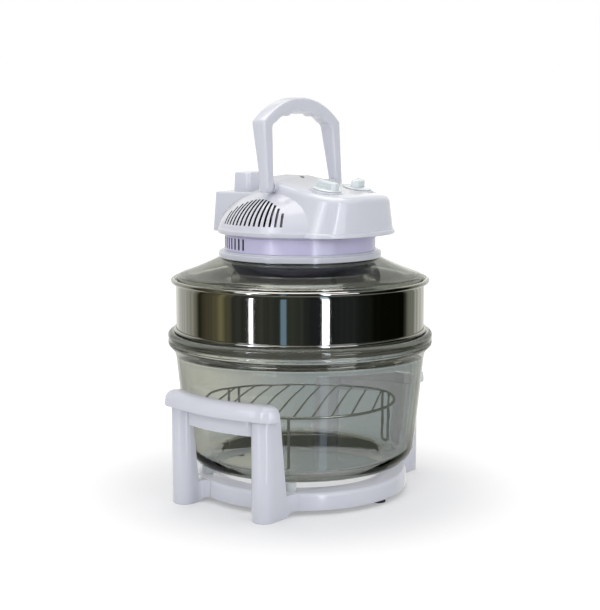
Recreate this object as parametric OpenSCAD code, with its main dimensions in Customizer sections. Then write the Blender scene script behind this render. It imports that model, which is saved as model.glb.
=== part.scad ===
// Halogen oven: a glass bowl on a handled base ring, a steel extender ring and a lift-off heater lid.
// Millimetres. The origin is on the oven's axis at the table. +Z is up, the console faces -Y.

/* [Base] */
// Outer radius of the base ring
ring_r = 137; // [132:1:140]
// Radius of the opening in the base ring
ring_bore_r = 110; // [100:1:112]
// Height of the base ring
ring_h = 21; // [19:1:26]
// Radius of the base ring's upper outer edge
ring_edge_r = 5; // [2:0.5:7]
// Wall of the base mouldings
base_wall = 3; // [2:0.25:3.5]
// Height of the rubber feet
foot_h = 6; // [4:0.5:8]
// Radius of a rubber foot
foot_r = 9; // [6:0.5:10]
// Height of the clear pads between the base ring and the bowl
pad_h = 11; // [8:1:16]
// Radius of a clear pad
pad_r = 7; // [5:0.5:8]
// Angle of the first clear pad from the handle line
pad_angle = 33; // [30:1:50]

/* [Handle frames] */
// Distance of a leg from the middle plane between the two handles
leg_x = 149; // [147:1:152]
// Distance of a leg from the middle plane of a handle
leg_y = 64; // [56:1:68]
// Radius of a leg's rounded outer side
leg_r = 15; // [13:0.5:17]
// Height of the legs
leg_h = 122; // [100:1:130]
// Wall of the handle frames and grips
frame_wall = 2.5; // [2:0.25:3]
// Gap between the bowl's wall and a handle frame
frame_gap = 5.5; // [4:0.5:7]
// Radius of the fillet between the base ring and a leg's web, on the side of the other leg
web_fillet = 12; // [8:1:16]
// Radius of the same fillet on the web's far side
web_far_fillet = 20; // [14:1:24]
// Height of the cross panel between two legs
panel_h = 21; // [12:1:30]
// Height of a grip
grip_h = 18.5; // [16:0.5:26]
// Length of a grip
grip_len = 176; // [170:1:184]
// Depth of a grip at its middle
grip_depth = 18; // [16:0.5:22]
// Radius of the bow of a grip's outer side
grip_bow_r = 248; // [230:2:280]
// Radius of a grip's upper outer edge
grip_edge_r = 9; // [3:0.5:10]
// Radius of a grip's rounded ends, seen from above
grip_end_r = 18; // [14:0.5:20]

/* [Bowl] */
// Outer radius of the bowl just under its rim
neck_r = 158; // [157:0.5:160]
// Distance by which the bowl's rim stands out from there
rim_out = 10; // [8:0.5:13]
// Outer radius of the bowl's wall just above the rounded bottom
belly_r = 146.3; // [145:0.5:149]
// Radius of the flat underside
bowl_flat_r = 122; // [118:1:126]
// Height of the bowl
bowl_h = 167; // [158:1:180]
// Height of the bowl's rounded bottom
bowl_corner = 22; // [16:1:28]
// Height of the bowl's rim band
rim_h = 17; // [14:0.5:20]
// Thickness of the glass wall
glass_wall = 5; // [4:0.25:6]
// Thickness of the glass floor
glass_floor = 8; // [6:0.5:10]

/* [Rack] */
// Radius of the rack's ring, to the middle of its wire
rack_r = 121; // [112:1:124]
// Height of the rack's ring above the bowl's floor
rack_h = 70; // [45:1:90]
// Radius of the ring and leg wire
rack_wire_r = 1.7; // [1.2:0.1:2.2]
// Radius of the bar wire
bar_wire_r = 1.2; // [0.8:0.1:1.6]
// Number of bars
bar_count = 10; // [6:1:13]
// Direction of the bars from the handle line
bar_angle = 29; // [0:1:90]
// Width of a wire leg
rack_leg_w = 20; // [14:1:28]
// Direction of the first wire leg
rack_leg_angle = 87; // [60:1:120]

/* [Extender ring] */
// Outer radius of the steel wall
ext_r = 157.2; // [156.5:0.1:158]
// Height from the bowl's rim to the middle of the top bead
ext_h = 64; // [45:1:90]
// Thickness of the steel
sheet = 0.8; // [0.6:0.1:1]
// Radius of the rolled bead at the top
top_bead_r = 3; // [2.6:0.1:3.4]
// Radius of the rolled bead at the bottom
low_bead_r = 2; // [1.6:0.1:2.4]
// Depth of the skirt inside the bowl
skirt_h = 15; // [8:1:20]

/* [Lid] */
// Outer radius of the lid glass
lid_r = 155.4; // [154.5:0.1:155.6]
// Height of the lid glass from its edge to the flange ring
lid_rise = 22; // [20:0.5:28]
// Slope of the lid glass at the flange ring
lid_slope = 0.51; // [0.46:0.01:0.56]
// Radius of the hole in the lid glass
lid_hole_r = 88; // [86:0.5:90]
// Thickness of the lid glass
lid_glass_t = 4.5; // [4:0.25:5]
// Height of the lid glass's turned-down edge
lid_edge_h = 9; // [8.5:0.25:11]
// Outer radius of the white flange ring
flange_r = 102.5; // [100:0.5:106]
// Height of the flange ring's outer face
flange_h = 10; // [9:0.5:14]
// Outer radius of the vented collar
collar_r = 95.2; // [94:0.2:97]
// Height of the vented collar
collar_h = 21; // [19:0.5:26]
// Width of a vent slot in the collar
collar_slot_w = 2.5; // [1.8:0.1:3]
// Wall of the lid's plastic mouldings
head_wall = 2.8; // [2.2:0.1:3]

/* [Heater] */
// Radius of the heater pan's lower rim
pan_rim_r = 91.5; // [89:0.5:93]
// Depth of the heater pan below the lid glass
pan_depth = 19; // [16:0.5:24]
// Radius of the groove round the heater pan, between its dish and its rim
pan_waist_r = 75.5; // [74:0.5:80]
// Radius of the lamp's ring
lamp_r = 62; // [56:1:66]
// Radius of the lamp's tube
lamp_tube_r = 5; // [4:0.5:6]
// Radius of the convection fan
fan_r = 46; // [36:1:48]
// Radius of the motor shaft
shaft_r = 3; // [2.5:0.25:3.5]
// Radius of the cooling fan
cooler_r = 52; // [40:1:60]

/* [Top housing] */
// Radius of the dome that carries the side vents
dome_r = 104; // [102:1:108]
// Height of the dome
dome_h = 62; // [56:1:64]
// Width of the rear block
block_w = 104; // [94:1:108]
// Distance of the rear block's back face from the oven's axis
block_reach = 104; // [100:1:106]
// Height of the rear block
block_h = 50; // [46:1:54]
// Width of the rear tower
tower_w = 50; // [40:1:60]
// Depth of the rear tower, front to back
tower_d = 29; // [22:1:30]
// Height of the rear tower
tower_h = 24; // [16:1:30]
// Largest half-width of the console at its lower edge
console_hw = 79; // [76:1:82]
// Half-width of the console's top at its widest
console_top_hw = 63; // [61:1:66]
// Distance of the console's front from the oven's axis, at its lower edge
console_reach = 118; // [114:1:122]
// Height of the console's top above the housing's lower edge, on the oven's axis
console_h = 68; // [66:1:70]
// Fall of the console's top towards the front, in degrees
console_tilt = 10.3; // [8:0.1:11]
// Number of side vent slots on each side
vent_count = 14; // [8:1:16]
// Width of a side vent slot
vent_w = 2.6; // [2:0.1:3.2]

/* [Controls] */
// Distance of a knob from the middle plane
knob_x = 31; // [27:0.5:34]
// Distance of the knobs in front of the oven's axis
knob_y = 66; // [60:1:70]
// Radius of a knob's disc
knob_r = 19; // [16:0.5:21]
// Height of a knob
knob_h = 9.5; // [8:0.5:13]
// Width of a knob's bar grip
knob_bar_w = 10; // [8:0.5:12]
// Length of a knob's bar grip
knob_bar_len = 27; // [20:1:31]

/* [Bail handle] */
// Half-width of the bail handle outside
bail_hw = 76.5; // [75:0.5:80]
// Height of the bail handle above its pivots
bail_h = 109; // [100:1:120]
// Thickness of a bail leg at its foot
bail_leg_t = 13.7; // [12:0.1:14]
// Radius of the bail's crown
bail_crown_r = 112; // [100:1:125]
// Thickness of the crown above the finger hollows
bail_crown_t = 16.5; // [14:0.5:20]
// Distance between the finger scallops
scallop_pitch = 27; // [22:0.5:29]
// Distance of the pivots in front of the oven's axis
pivot_y = 4; // [0:0.5:8]
// Radius of a pivot pin
pin_r = 2.5; // [2:0.1:2.8]
// Largest angle by which the bail folds forward
bail_fold = 84; // [60:1:84]

/* [Hidden] */
$fn = 48;
// Gap left between two pieces of one body that sit together
seat = 0.1;
// Gap left between two bodies that rest on each other
rest_gap = 0.3;
// Radial clearance of a shaft that turns in a hole
run = 0.05;
// Radius of a screw's shank and of its head
screw_r = 1.6;
screw_head_r = 3.2;
screw_head_h = 2.2;
tab_screw_len = 10;
grip_screw_len = 12;
// Colours
white_plastic = [0.85, 0.86, 0.92];
lilac_plastic = [0.76, 0.76, 0.87];
clear_glass = [0.75, 0.8, 0.78, 0.4];
steel = [0.6, 0.6, 0.62];
dark_steel = [0.3, 0.3, 0.32];
rubber_grey = [0.2, 0.2, 0.2];

// Base: the ring's middle radius carries the feet, the pads and the screws
ring_mid_r = (ring_r + ring_bore_r) / 2;
ring_top = foot_h + ring_h;
boss_r = 5;
foot_peg_r = 3;
peg_h = 6;
foot_angles = [90, 270];
pad_angles = [pad_angle, 180 - pad_angle, 180 + pad_angle, 360 - pad_angle];

// Handle frames
tab_w = 16;
tab_t = 3;
tab_z = foot_h + 2.5;
tab_angle = asin(leg_y / ring_r) - 4;
// The webs run on into the ring's space, where the clearance for the ring cuts them off
web_sink = 10;
web_end = sqrt(pow(ring_r - web_sink, 2) - pow(leg_y + leg_r, 2));
web_blunt = 14;
web_join = 1;
flare_r = 13;
grip_top = leg_h + grip_h;

// Bowl
bowl_z = ring_top + pad_h;
rim_r = neck_r + rim_out;
bowl_top = bowl_z + bowl_h;
rim_z = bowl_top - rim_h;
neck_z = rim_z - 12;
rim_round = 5;
rim_land_r = neck_r - 3;
bowl_floor_z = bowl_z + glass_floor;
belly_z = bowl_z + bowl_corner;
function bowl_wall_r(z) = belly_r + (neck_r - belly_r) * (z - belly_z) / (neck_z - belly_z);
function frame_r(z) = bowl_wall_r(z) + frame_gap;
grip_reach = frame_r(grip_top) + grip_depth;
grip_end_x = bow_x(grip_len / 2 - grip_end_r) - grip_end_r;

// Rack
rack_z = bowl_floor_z + rack_h;
rack_foot_z = bowl_floor_z + rest_gap;
bar_pitch = 2 * rack_r / (bar_count + 1);
rack_leg_angles = [rack_leg_angle, rack_leg_angle + 120, rack_leg_angle + 240];

// Extender ring
ext_top_z = bowl_top + ext_h;
low_bead_z = bowl_top + rest_gap + low_bead_r + 0.2;
ledge_z = bowl_top + rest_gap;
skirt_r = neck_r - glass_wall - 1.7;
shelf_z = ext_top_z - 3.5;
shelf_in_r = lid_r - 4;

// Lid glass: its upper face falls away from the flange ring and flattens towards its edge
lid_edge_z = shelf_z + sheet + rest_gap;
lid_edge_top = lid_edge_z + lid_edge_h;
flange_foot_z = lid_edge_top + lid_rise;
lid_flatten = (lid_slope * (lid_r - flange_r) - lid_rise) / pow(lid_r - flange_r, 2);
function lid_z(r) = flange_foot_z - lid_slope * (r - flange_r) + lid_flatten * pow(r - flange_r, 2);
gasket_t = 1;
flange_top = flange_foot_z + flange_h;
collar_z = flange_top + seat;
collar_top = collar_z + collar_h;
housing_z = collar_top + seat;
collar_in_r = collar_r - head_wall;
collar_lip = 20;
collar_slot_pitch = 5.1;
collar_slot_count = 33;

// Heater pan: a hat-shaped pressing, open downwards
pan_hat_r = lid_hole_r - 3.5;
pan_flange_r = pan_rim_r + 6.5;
pan_roof_z = lid_z(pan_hat_r) + 1;
pan_rim_z = lid_z(pan_flange_r) - lid_glass_t - pan_depth;
function pan_flange_z(r) = lid_z(r) - lid_glass_t - gasket_t - seat;
pan_hem = 1.4;
// The dish under the flange curves in to the groove, and the rim flares out again below it
pan_groove_z = pan_rim_z + 5.5;
pan_dish = [[pan_waist_r, 0], [pan_waist_r + 12, 2.5], [pan_flange_r - 3, 5], [pan_flange_r, 9]];
pan_flare = (pan_groove_z - pan_rim_z - pan_hem) / (pan_rim_r - pan_waist_r);
guard_z = pan_rim_z + 2;
guard_wire_r = 1;
// The guard's outer wire lies against the underside of the pan's flare
guard_r = pan_waist_r - sheet
    + (pan_groove_z - sheet - guard_z - (guard_wire_r + seat) * sqrt(1 + pow(pan_flare, 2))) / pan_flare;
holder_z = guard_z + guard_wire_r + 1;
lamp_z = holder_z + lamp_tube_r + 1;
holder_w = 16;
holder_t = 12;
holder_angle = 14;
stud_r = 2;
stud_pitch_r = pan_hat_r - 8;
stud_angles = [30, 150, 270];
stud_head_r = 3.4;
stud_head_h = 3;
bulb_r = 2.5;
bulb_len = 26;
bulb_start_r = fan_r + 9;
bulb_z = lamp_z + lamp_tube_r + bulb_r + 5;
shield_z = pan_roof_z + 6;
shield_t = 0.8;
fan_z = pan_roof_z - 12;
fan_h = 8;
cooler_z = shield_z + 3;
cooler_h = 8;

// Top housing: the console's top is crowned across and falls to the front
floor_t = 2.5;
floor_z = housing_z + seat;
floor_top = floor_z + floor_t;
crown = 0.0012;
console_fall = tan(console_tilt);
function console_z(x, y) = housing_z + console_h + console_fall * y - crown * x * x;
bevel_w = 8;
bevel_h = 7.5;
console_mid_y = -67;
console_top_y = -60;
// The console's walls lean in by this much over the floor's thickness
floor_lean = (floor_t + 1) * (console_hw - console_top_hw)
    / (console_z(console_top_hw, console_top_y) - bevel_h - housing_z);
console_front_draft = 6;
console_rear_y = 28;
console_rear_hw = 54;
console_rear_low_hw = 62;
// Squareness of the console's front: 2 is an ellipse, more is squarer
square_low = 2.3;
square_top = 3.2;
block_in_y = 10;
block_round = 7;
block_draft = 2.5;
block_lean = block_draft * (floor_t + 1) / block_h;
tower_y = block_reach - 12 - tower_d / 2;
tower_z = housing_z + block_h;
tower_top = tower_z + tower_h;
vent_z = housing_z + 13;
vent_pitch = 4.1;
vent_mid_angle = 178.7;
boss_screw_r = 4.5;
floor_bore_r = 42;
bracket_len = 120;
bracket_w = 34;
bracket_t = 1.5;
motor_z = floor_top + bracket_t;
motor_h = 34;
rotor_r = 17;
// The motor's stack of plates, and the coil behind it
stack_w = 60;
stack_d = 50;
stack_h = 16;
stack_rise = 8;
coil_w = 36;
coil_d = 13;
coil_h = 22;
lens_x = 9.5;
lens_y = 4;
lens_r = 2.5;
lens_flange_t = 1;
lens_flange_drop = head_wall + rest_gap + 0.4;
inlet_w = 27;
inlet_h = 20;
inlet_depth = 22;
inlet_rise = 20;
inlet_wall = 2;
// The inlet's three flat pins, as distance from its middle across and up
inlet_pins_at = [[-7, -2], [7, -2], [0, 2]];
inlet_pin_w = 2;
inlet_pin_h = 4;
boss_x = 40;
front_boss_y = -92;
rear_boss_y = block_reach - 10;
housing_screws_at = [for (y = [front_boss_y, rear_boss_y]) each [[boss_x, y], [-boss_x, y]]];
housing_screw_len = 10;
function boss_top(p) = (p[1] < 0 ? console_z(p[0], p[1]) : tower_z) - head_wall / 2;

// Knobs stand square to the console's top
knob_z = console_z(knob_x, -knob_y) + 1.2;
knob_shaft_r = 3;
knob_disc_h = 2.5;
thermostat_turn = -70;
knob_seat_h = 7;
control_h = 22;
control_foot = -rest_gap - knob_seat_h - seat - control_h;

// Bail
pivot_drop = 8.7;
pivot_z = console_z(0, -pivot_y) - pivot_drop;
pivot_boss_r = 6.5;
bail_foot_in = bail_hw - bail_leg_t;
pivot_boss_end = bail_foot_in - 1;
pivot_boss_start = 46;
bail_foot_r = 6.3;
bail_shoulder_in = bail_foot_in - 3;
bail_inner_r = 8;
scallop_depth = 3.4;
bail_front_rise = 4.7;
bail_rear_rise = 13;
bail_sink = 20;
bail_finger_fall = 0.0045;
pin_blind = 3;
cam_r = 5.5;
cam_lift = 2.5;
cam_x = 40;
cam_w = 5;
plunger_r = 1.8;
plunger_in = 8;
switch_w = 14;
switch_d = 20;
switch_h = 16;
switch_top = pivot_z - cam_r - 4.5;
switch_x = cam_x + cam_w / 2;

// Points of an arc about (x, y) from angle a to angle b
function arc(x, y, r, a, b, n = 8) = quarter(x, y, r, r, a, b, n);
// Points of a quarter of an ellipse about (x, y)
function quarter(x, y, rx, ry, a, b, n = 8) = [for (i = [0:n]) let (t = a + (b - a) * i / n)
    [x + rx * cos(t), y + ry * sin(t)]];
function rounded_rect(w, d, r) = concat(
    arc(w / 2 - r, d / 2 - r, r, 0, 90, 5), arc(r - w / 2, d / 2 - r, r, 90, 180, 5),
    arc(r - w / 2, r - d / 2, r, 180, 270, 5), arc(w / 2 - r, r - d / 2, r, 270, 360, 5));

// One revolved piece from its half section, as radius and height
module turned(points, angle = 360) {
    rotate_extrude(angle = angle, $fn = 96)
        polygon(points);
}

module ring_plate(r_in, r_out, z, h) {
    translate([0, 0, z])
        difference() {
            cylinder(r = r_out, h = h);
            translate([0, 0, -1])
                cylinder(r = r_in, h = h + 2);
        }
}

// A row of points at one radius about the axis
module around(angles, r = 0) {
    for (a = angles)
        rotate([0, 0, a])
            translate([r, 0, 0])
                children();
}

// A screw that stands head down, its head's upper side at z = 0
module screw_up(length) {
    translate([0, 0, -screw_head_h])
        cylinder(r = screw_head_r, h = screw_head_h);
    cylinder(r = screw_r, h = length);
}

function middle(ring) = [for (axis = [0:2]) [for (p = ring) p[axis]] * [for (p = ring) 1] / len(ring)];

// A closed skin through rings of points, from the lowest ring to the highest
module loft(rings) {
    n = len(rings[0]);
    last = len(rings) - 1;
    low = n * len(rings);
    points = concat([for (ring = rings) each ring], [middle(rings[0]), middle(rings[last])]);
    sides = [for (k = [0:last - 1]) for (i = [0:n - 1]) let (j = (i + 1) % n)
        each [[k * n + i, (k + 1) * n + j, k * n + j], [k * n + i, (k + 1) * n + i, (k + 1) * n + j]]];
    caps = [for (i = [0:n - 1]) let (j = (i + 1) % n)
        each [[low, i, j], [low + 1, last * n + j, last * n + i]]];
    polyhedron(points = points, faces = concat(sides, caps));
}

// Base

module base_ring() {
    inner_top = ring_top - base_wall;
    color(white_plastic)
        difference() {
            union() {
                difference() {
                    turned(concat([[ring_bore_r, foot_h], [ring_r, foot_h]],
                        arc(ring_r - ring_edge_r, ring_top - ring_edge_r, ring_edge_r, 0, 90, 6),
                        [[ring_bore_r, ring_top]]));
                    turned([[ring_bore_r + base_wall, foot_h - 1], [ring_r - base_wall, foot_h - 1],
                        [ring_r - base_wall, inner_top - 2], [ring_r - base_wall - 2, inner_top],
                        [ring_bore_r + base_wall, inner_top]]);
                }
                around(foot_angles, ring_mid_r)
                    translate([0, 0, foot_h])
                        cylinder(r = foot_r, h = ring_h - 1);
                around([tab_angle, -tab_angle, 180 + tab_angle, 180 - tab_angle], ring_mid_r)
                    translate([0, 0, tab_z + tab_t + seat])
                        cylinder(r = boss_r, h = ring_top - 1 - tab_z - tab_t);
            }
            around(foot_angles, ring_mid_r)
                translate([0, 0, foot_h - 1])
                    cylinder(r = foot_peg_r + run, h = peg_h + 2);
            around(pad_angles, ring_mid_r)
                translate([0, 0, ring_top - base_wall - 1])
                    cylinder(r = foot_peg_r + run, h = base_wall + 2);
            around([tab_angle, -tab_angle, 180 + tab_angle, 180 - tab_angle], ring_mid_r) {
                translate([0, 0, tab_z])
                    cylinder(r = screw_r + run, h = tab_screw_len + 2);
                translate([ring_r - ring_mid_r - base_wall - 3, -tab_w / 2 - seat, foot_h - 1])
                    cube([base_wall + 4, tab_w + 2 * seat, tab_z + tab_t + seat - foot_h + 1]);
            }
        }
}

module base_feet() {
    color(rubber_grey)
        around(foot_angles, ring_mid_r) {
            cylinder(r = foot_r, h = foot_h);
            cylinder(r = foot_peg_r, h = foot_h + peg_h);
        }
}

module bowl_pads() {
    color(clear_glass)
        around(pad_angles, ring_mid_r) {
            translate([0, 0, ring_top])
                cylinder(r = pad_r, h = pad_h - rest_gap);
            translate([0, 0, ring_top - base_wall])
                cylinder(r = foot_peg_r, h = base_wall + 1);
        }
}

// Outline of a leg seen from above: rounded outside, running back under the bowl's edge
module leg_outline(grow = 0) {
    polygon(concat([[web_end, leg_y - leg_r - grow]],
        arc(leg_x, leg_y, leg_r + grow, -90, 90, 12),
        [[web_end, leg_y + leg_r + grow]]));
}

// Fillet of radius r between the ring and a web that ends at y. It lies towards the middle of the handle
// (side = -1) or away from it (side = 1), and stops short of the ring, so that its end is no knife edge
module web_fillet_outline(y, r, side) {
    cy = y + side * r;
    cx = sqrt(pow(ring_r + r, 2) - pow(cy, 2));
    to_ring = 180 + atan2(cy, cx);
    polygon(concat(arc(cx, cy, r, -side * 90 + (side > 0 ? 360 : 0), to_ring + side * web_blunt, 8),
        [[web_end, cy - side * r / 2], [web_end, y - side * web_join], [cx, y - side * web_join]]));
}

// The space that the bowl and the base ring need inside the handle frames
module frame_clearance(grow = 0) {
    turned([[0, -2], [ring_r + seat + grow, -2], [ring_r + seat + grow, ring_top - grow],
        [frame_r(ring_top) + grow, ring_top - grow],
        [frame_r(grip_top + 5) + grow, grip_top + 5], [0, grip_top + 5]]);
}

module both_legs() {
    children();
    mirror([0, 1, 0])
        children();
}

module handle_frame() {
    difference() {
        union() {
            difference() {
                both_legs()
                    union() {
                        linear_extrude(leg_h)
                            leg_outline();
                        linear_extrude(ring_top)
                            web_fillet_outline(leg_y - leg_r, web_fillet, -1);
                        linear_extrude(ring_top)
                            web_fillet_outline(leg_y + leg_r, web_far_fillet, 1);
                    }
                frame_clearance();
                turned(concat([[ring_r - 1, -1]],
                    [for (i = [0:6]) [ring_r + flare_r * i / 6, foot_h * cos(15 * i)]],
                    [[ring_r + flare_r, -1]]));
            }
            intersection() {
                ring_plate(frame_r(grip_top) + 0.5, frame_r(grip_top) + 0.5 + frame_wall + 1,
                    leg_h - panel_h, panel_h);
                translate([0, -leg_y + leg_r - 1, 0])
                    cube([leg_x + 2 * leg_r, 2 * (leg_y - leg_r) + 2, leg_h]);
            }
            both_legs()
                rotate([0, 0, tab_angle])
                    translate([ring_mid_r - 8, -tab_w / 2, tab_z])
                        cube([ring_r + base_wall - ring_mid_r + 8, tab_w, tab_t]);
        }
        difference() {
            both_legs()
                translate([0, 0, -1])
                    linear_extrude(leg_h - frame_wall + 1)
                        leg_outline(-frame_wall);
            frame_clearance(frame_wall);
        }
        both_legs() {
            translate([leg_x + 2, leg_y, leg_h - frame_wall - 1])
                cylinder(r = screw_r + 0.3, h = frame_wall + 2);
            rotate([0, 0, tab_angle])
                translate([ring_mid_r, 0, tab_z - 1])
                    cylinder(r = screw_r + 0.3, h = tab_t + 2);
        }
    }
}

function bow_x(y) = grip_reach - grip_bow_r + sqrt(pow(grip_bow_r, 2) - pow(y, 2));

// Outline of a grip seen from above, past its bow: each end turns back round its leg
function grip_half(inset) = let (end = grip_len / 2) concat(
    [[grip_reach + 5, 0], [grip_reach + 5, end - grip_end_r]],
    arc(grip_end_x + 0.6, end - grip_end_r, grip_end_r - inset, 0, 96, 8),
    [[leg_x - 32 + inset, 0]]);
function grip_outline(inset) = let (half = grip_half(inset))
    concat(half, [for (i = [len(half) - 2:-1:1]) [half[i][0], -half[i][1]]]);

module grip_body(inset = 0) {
    top = grip_top - inset;
    edge = grip_edge_r - inset;
    intersection() {
        translate([grip_reach - grip_bow_r, 0, 0])
            turned(concat([[0, leg_h - 2 * inset], [grip_bow_r - inset, leg_h - 2 * inset]],
                arc(grip_bow_r - grip_edge_r, top - edge, edge, 0, 90, 6), [[0, top]]));
        turned(concat([[grip_reach * 2, leg_h - 2 * inset], [frame_r(grip_top) + inset, leg_h - 2 * inset]],
            arc(frame_r(grip_top) + 3, top - 3 + inset, 3 - inset, 180, 90, 4), [[grip_reach * 2, top]]));
        linear_extrude(grip_top + 1)
            polygon(grip_outline(inset));
    }
}

module grip() {
    difference() {
        union() {
            difference() {
                grip_body();
                grip_body(frame_wall);
            }
            both_legs()
                translate([leg_x + 2, leg_y, leg_h])
                    cylinder(r = boss_r, h = grip_h - frame_wall / 2);
        }
        both_legs()
            translate([leg_x + 2, leg_y, leg_h - 1])
                cylinder(r = screw_r + run, h = grip_screw_len);
        translate([0, 0, leg_h - 1])
            cylinder(r = frame_r(grip_top), h = grip_h / 2);
    }
}

module right_handle_frame() {
    color(white_plastic)
        handle_frame();
}

module left_handle_frame() {
    color(white_plastic)
        mirror([1, 0, 0])
            handle_frame();
}

module right_grip() {
    color(white_plastic)
        translate([0, 0, seat])
            grip();
}

module left_grip() {
    color(white_plastic)
        mirror([1, 0, 0])
            translate([0, 0, seat])
                grip();
}

module base_screws() {
    color(steel)
        for (side = [0, 1])
            mirror([side, 0, 0])
                both_legs() {
                    rotate([0, 0, tab_angle])
                        translate([ring_mid_r, 0, tab_z])
                            screw_up(tab_screw_len);
                    translate([leg_x + 2, leg_y, leg_h - frame_wall])
                        screw_up(grip_screw_len);
                }
}

// Bowl, rack and extender ring

module glass_bowl() {
    in_corner = bowl_corner - glass_wall;
    color(clear_glass)
        turned(concat(
            [[0, bowl_z + 1.2], [bowl_flat_r - 24, bowl_z + 1.2], [bowl_flat_r - 18, bowl_z]],
            quarter(bowl_flat_r, bowl_z + bowl_corner, belly_r - bowl_flat_r, bowl_corner, -90, 0, 8),
            [[neck_r, neck_z], [neck_r + 2, neck_z + 4.5], [rim_r - 2.5, rim_z - 1.5], [rim_r, rim_z + 1.5]],
            arc(rim_r - rim_round, bowl_top - rim_round, rim_round, 0, 90, 5),
            [[rim_land_r, bowl_top], [rim_land_r - 2, bowl_top - 2], [neck_r - glass_wall, neck_z]],
            quarter(bowl_flat_r - 2, bowl_floor_z + in_corner, belly_r - glass_wall - bowl_flat_r + 2,
                in_corner, 0, -90, 8),
            [[0, bowl_floor_z]]));
}

module wire(a, b, r) {
    d = b - a;
    translate(a)
        rotate([0, acos(d[2] / norm(d)), atan2(d[1], d[0])])
            cylinder(r = r, h = norm(d), $fn = 16);
}

module wire_rack() {
    foot_z = rack_foot_z + rack_wire_r;
    bend = 4;
    half = rack_leg_w / 2;
    color(steel) {
        translate([0, 0, rack_z])
            rotate_extrude()
                translate([rack_r, 0])
                    circle(r = rack_wire_r, $fn = 16);
        rotate([0, 0, bar_angle])
            for (i = [1:bar_count]) {
                offset_y = -rack_r + i * bar_pitch;
                half_bar = sqrt(pow(rack_r, 2) - pow(offset_y, 2));
                wire([-half_bar, offset_y, rack_z + 0.6], [half_bar, offset_y, rack_z + 0.6], bar_wire_r);
            }
        around(rack_leg_angles, rack_r - 1.4) {
            for (side = [-1, 1]) {
                wire([0, side * half, foot_z + bend], [0, side * half, rack_z], rack_wire_r);
                wire([0, side * half, foot_z + bend], [0, side * (half - bend), foot_z], rack_wire_r);
                translate([0, side * half, foot_z + bend])
                    sphere(r = rack_wire_r, $fn = 16);
                translate([0, side * (half - bend), foot_z])
                    sphere(r = rack_wire_r, $fn = 16);
            }
            wire([0, bend - half, foot_z], [0, half - bend, foot_z], rack_wire_r);
        }
    }
}

module bead(r, z, bead_r) {
    translate([0, 0, z])
        rotate_extrude()
            translate([r, 0])
                circle(r = bead_r, $fn = 24);
}

module extender_ring() {
    bead_top_r = ext_r + top_bead_r + 0.5;
    color(steel) {
        turned([[skirt_r - sheet, bowl_top - skirt_h], [skirt_r, bowl_top - skirt_h], [skirt_r, ledge_z],
            [ext_r + low_bead_r, ledge_z], [ext_r + low_bead_r, ledge_z + sheet], [ext_r, ledge_z + sheet],
            [ext_r, ext_top_z - sheet / 2], [ext_r + top_bead_r, ext_top_z - sheet / 2],
            [ext_r + top_bead_r, ext_top_z + sheet / 2], [ext_r - sheet, ext_top_z + sheet / 2],
            [ext_r - sheet, shelf_z + sheet], [shelf_in_r, shelf_z + sheet], [shelf_in_r, shelf_z],
            [ext_r - sheet, shelf_z], [ext_r - sheet, ledge_z + sheet], [skirt_r - sheet, ledge_z + sheet]]);
        bead(bead_top_r, ext_top_z, top_bead_r);
        bead(ext_r + low_bead_r - sheet / 2, low_bead_z, low_bead_r);
    }
}

// Lid glass and the rings that clamp it

module lid_glass() {
    steps = 8;
    foot_in_r = lid_r - lid_glass_t;
    color(clear_glass)
        turned(concat(
            [[foot_in_r, lid_edge_z], [lid_r, lid_edge_z]],
            [for (i = [0:steps]) let (r = lid_r + (lid_hole_r - lid_r) * i / steps) [r, lid_z(r)]],
            [for (i = [0:steps]) let (r = lid_hole_r + (foot_in_r - lid_hole_r) * i / steps)
                [r, lid_z(r) - lid_glass_t]]));
}

module lid_gasket() {
    lip = 4.5;
    t = gasket_t - seat / 2;
    in_r = lid_hole_r - 1.5;
    color([0.8, 0.8, 0.8])
        turned([[in_r, lid_z(in_r) + t], [lid_hole_r + lip, lid_z(lid_hole_r + lip) + t],
            [lid_hole_r + lip, lid_z(lid_hole_r + lip) + seat / 2],
            [lid_hole_r - seat / 2, lid_z(lid_hole_r) + seat / 2],
            [lid_hole_r - seat / 2, lid_z(lid_hole_r) - lid_glass_t - seat / 2],
            [lid_hole_r + lip, lid_z(lid_hole_r + lip) - lid_glass_t - seat / 2],
            [lid_hole_r + lip, lid_z(lid_hole_r + lip) - lid_glass_t - t],
            [in_r, lid_z(in_r) - lid_glass_t - t]]);
}

module flange_ring() {
    in_r = lid_hole_r - 1;
    color(white_plastic)
        turned(concat([[in_r, lid_z(in_r) + gasket_t + seat],
            [flange_r - 2, lid_z(flange_r - 2) + gasket_t + seat],
            [flange_r, lid_z(flange_r) + gasket_t / 2]],
            arc(flange_r - 2, flange_top - 2, 2, 0, 90, 4),
            [[collar_in_r, flange_top], [in_r, flange_top]]));
}

module vent_collar() {
    slot_h = collar_h - 7;
    first = 90 - collar_slot_pitch * (collar_slot_count - 1) / 2;
    color(lilac_plastic)
        difference() {
            union() {
                ring_plate(collar_in_r, collar_r, collar_z, collar_h);
                ring_plate(collar_in_r - collar_lip, collar_r - 1, collar_top - head_wall, head_wall);
            }
            around([for (i = [0:collar_slot_count - 1]) first + i * collar_slot_pitch], collar_in_r - 1)
                translate([0, -collar_slot_w / 2, collar_z + 3])
                    cube([head_wall + 2, collar_slot_w, slot_h]);
            around(stud_angles, stud_pitch_r)
                translate([0, 0, collar_top - head_wall - 1])
                    cylinder(r = stud_r + run, h = head_wall + 2);
        }
}

// Heater

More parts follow.
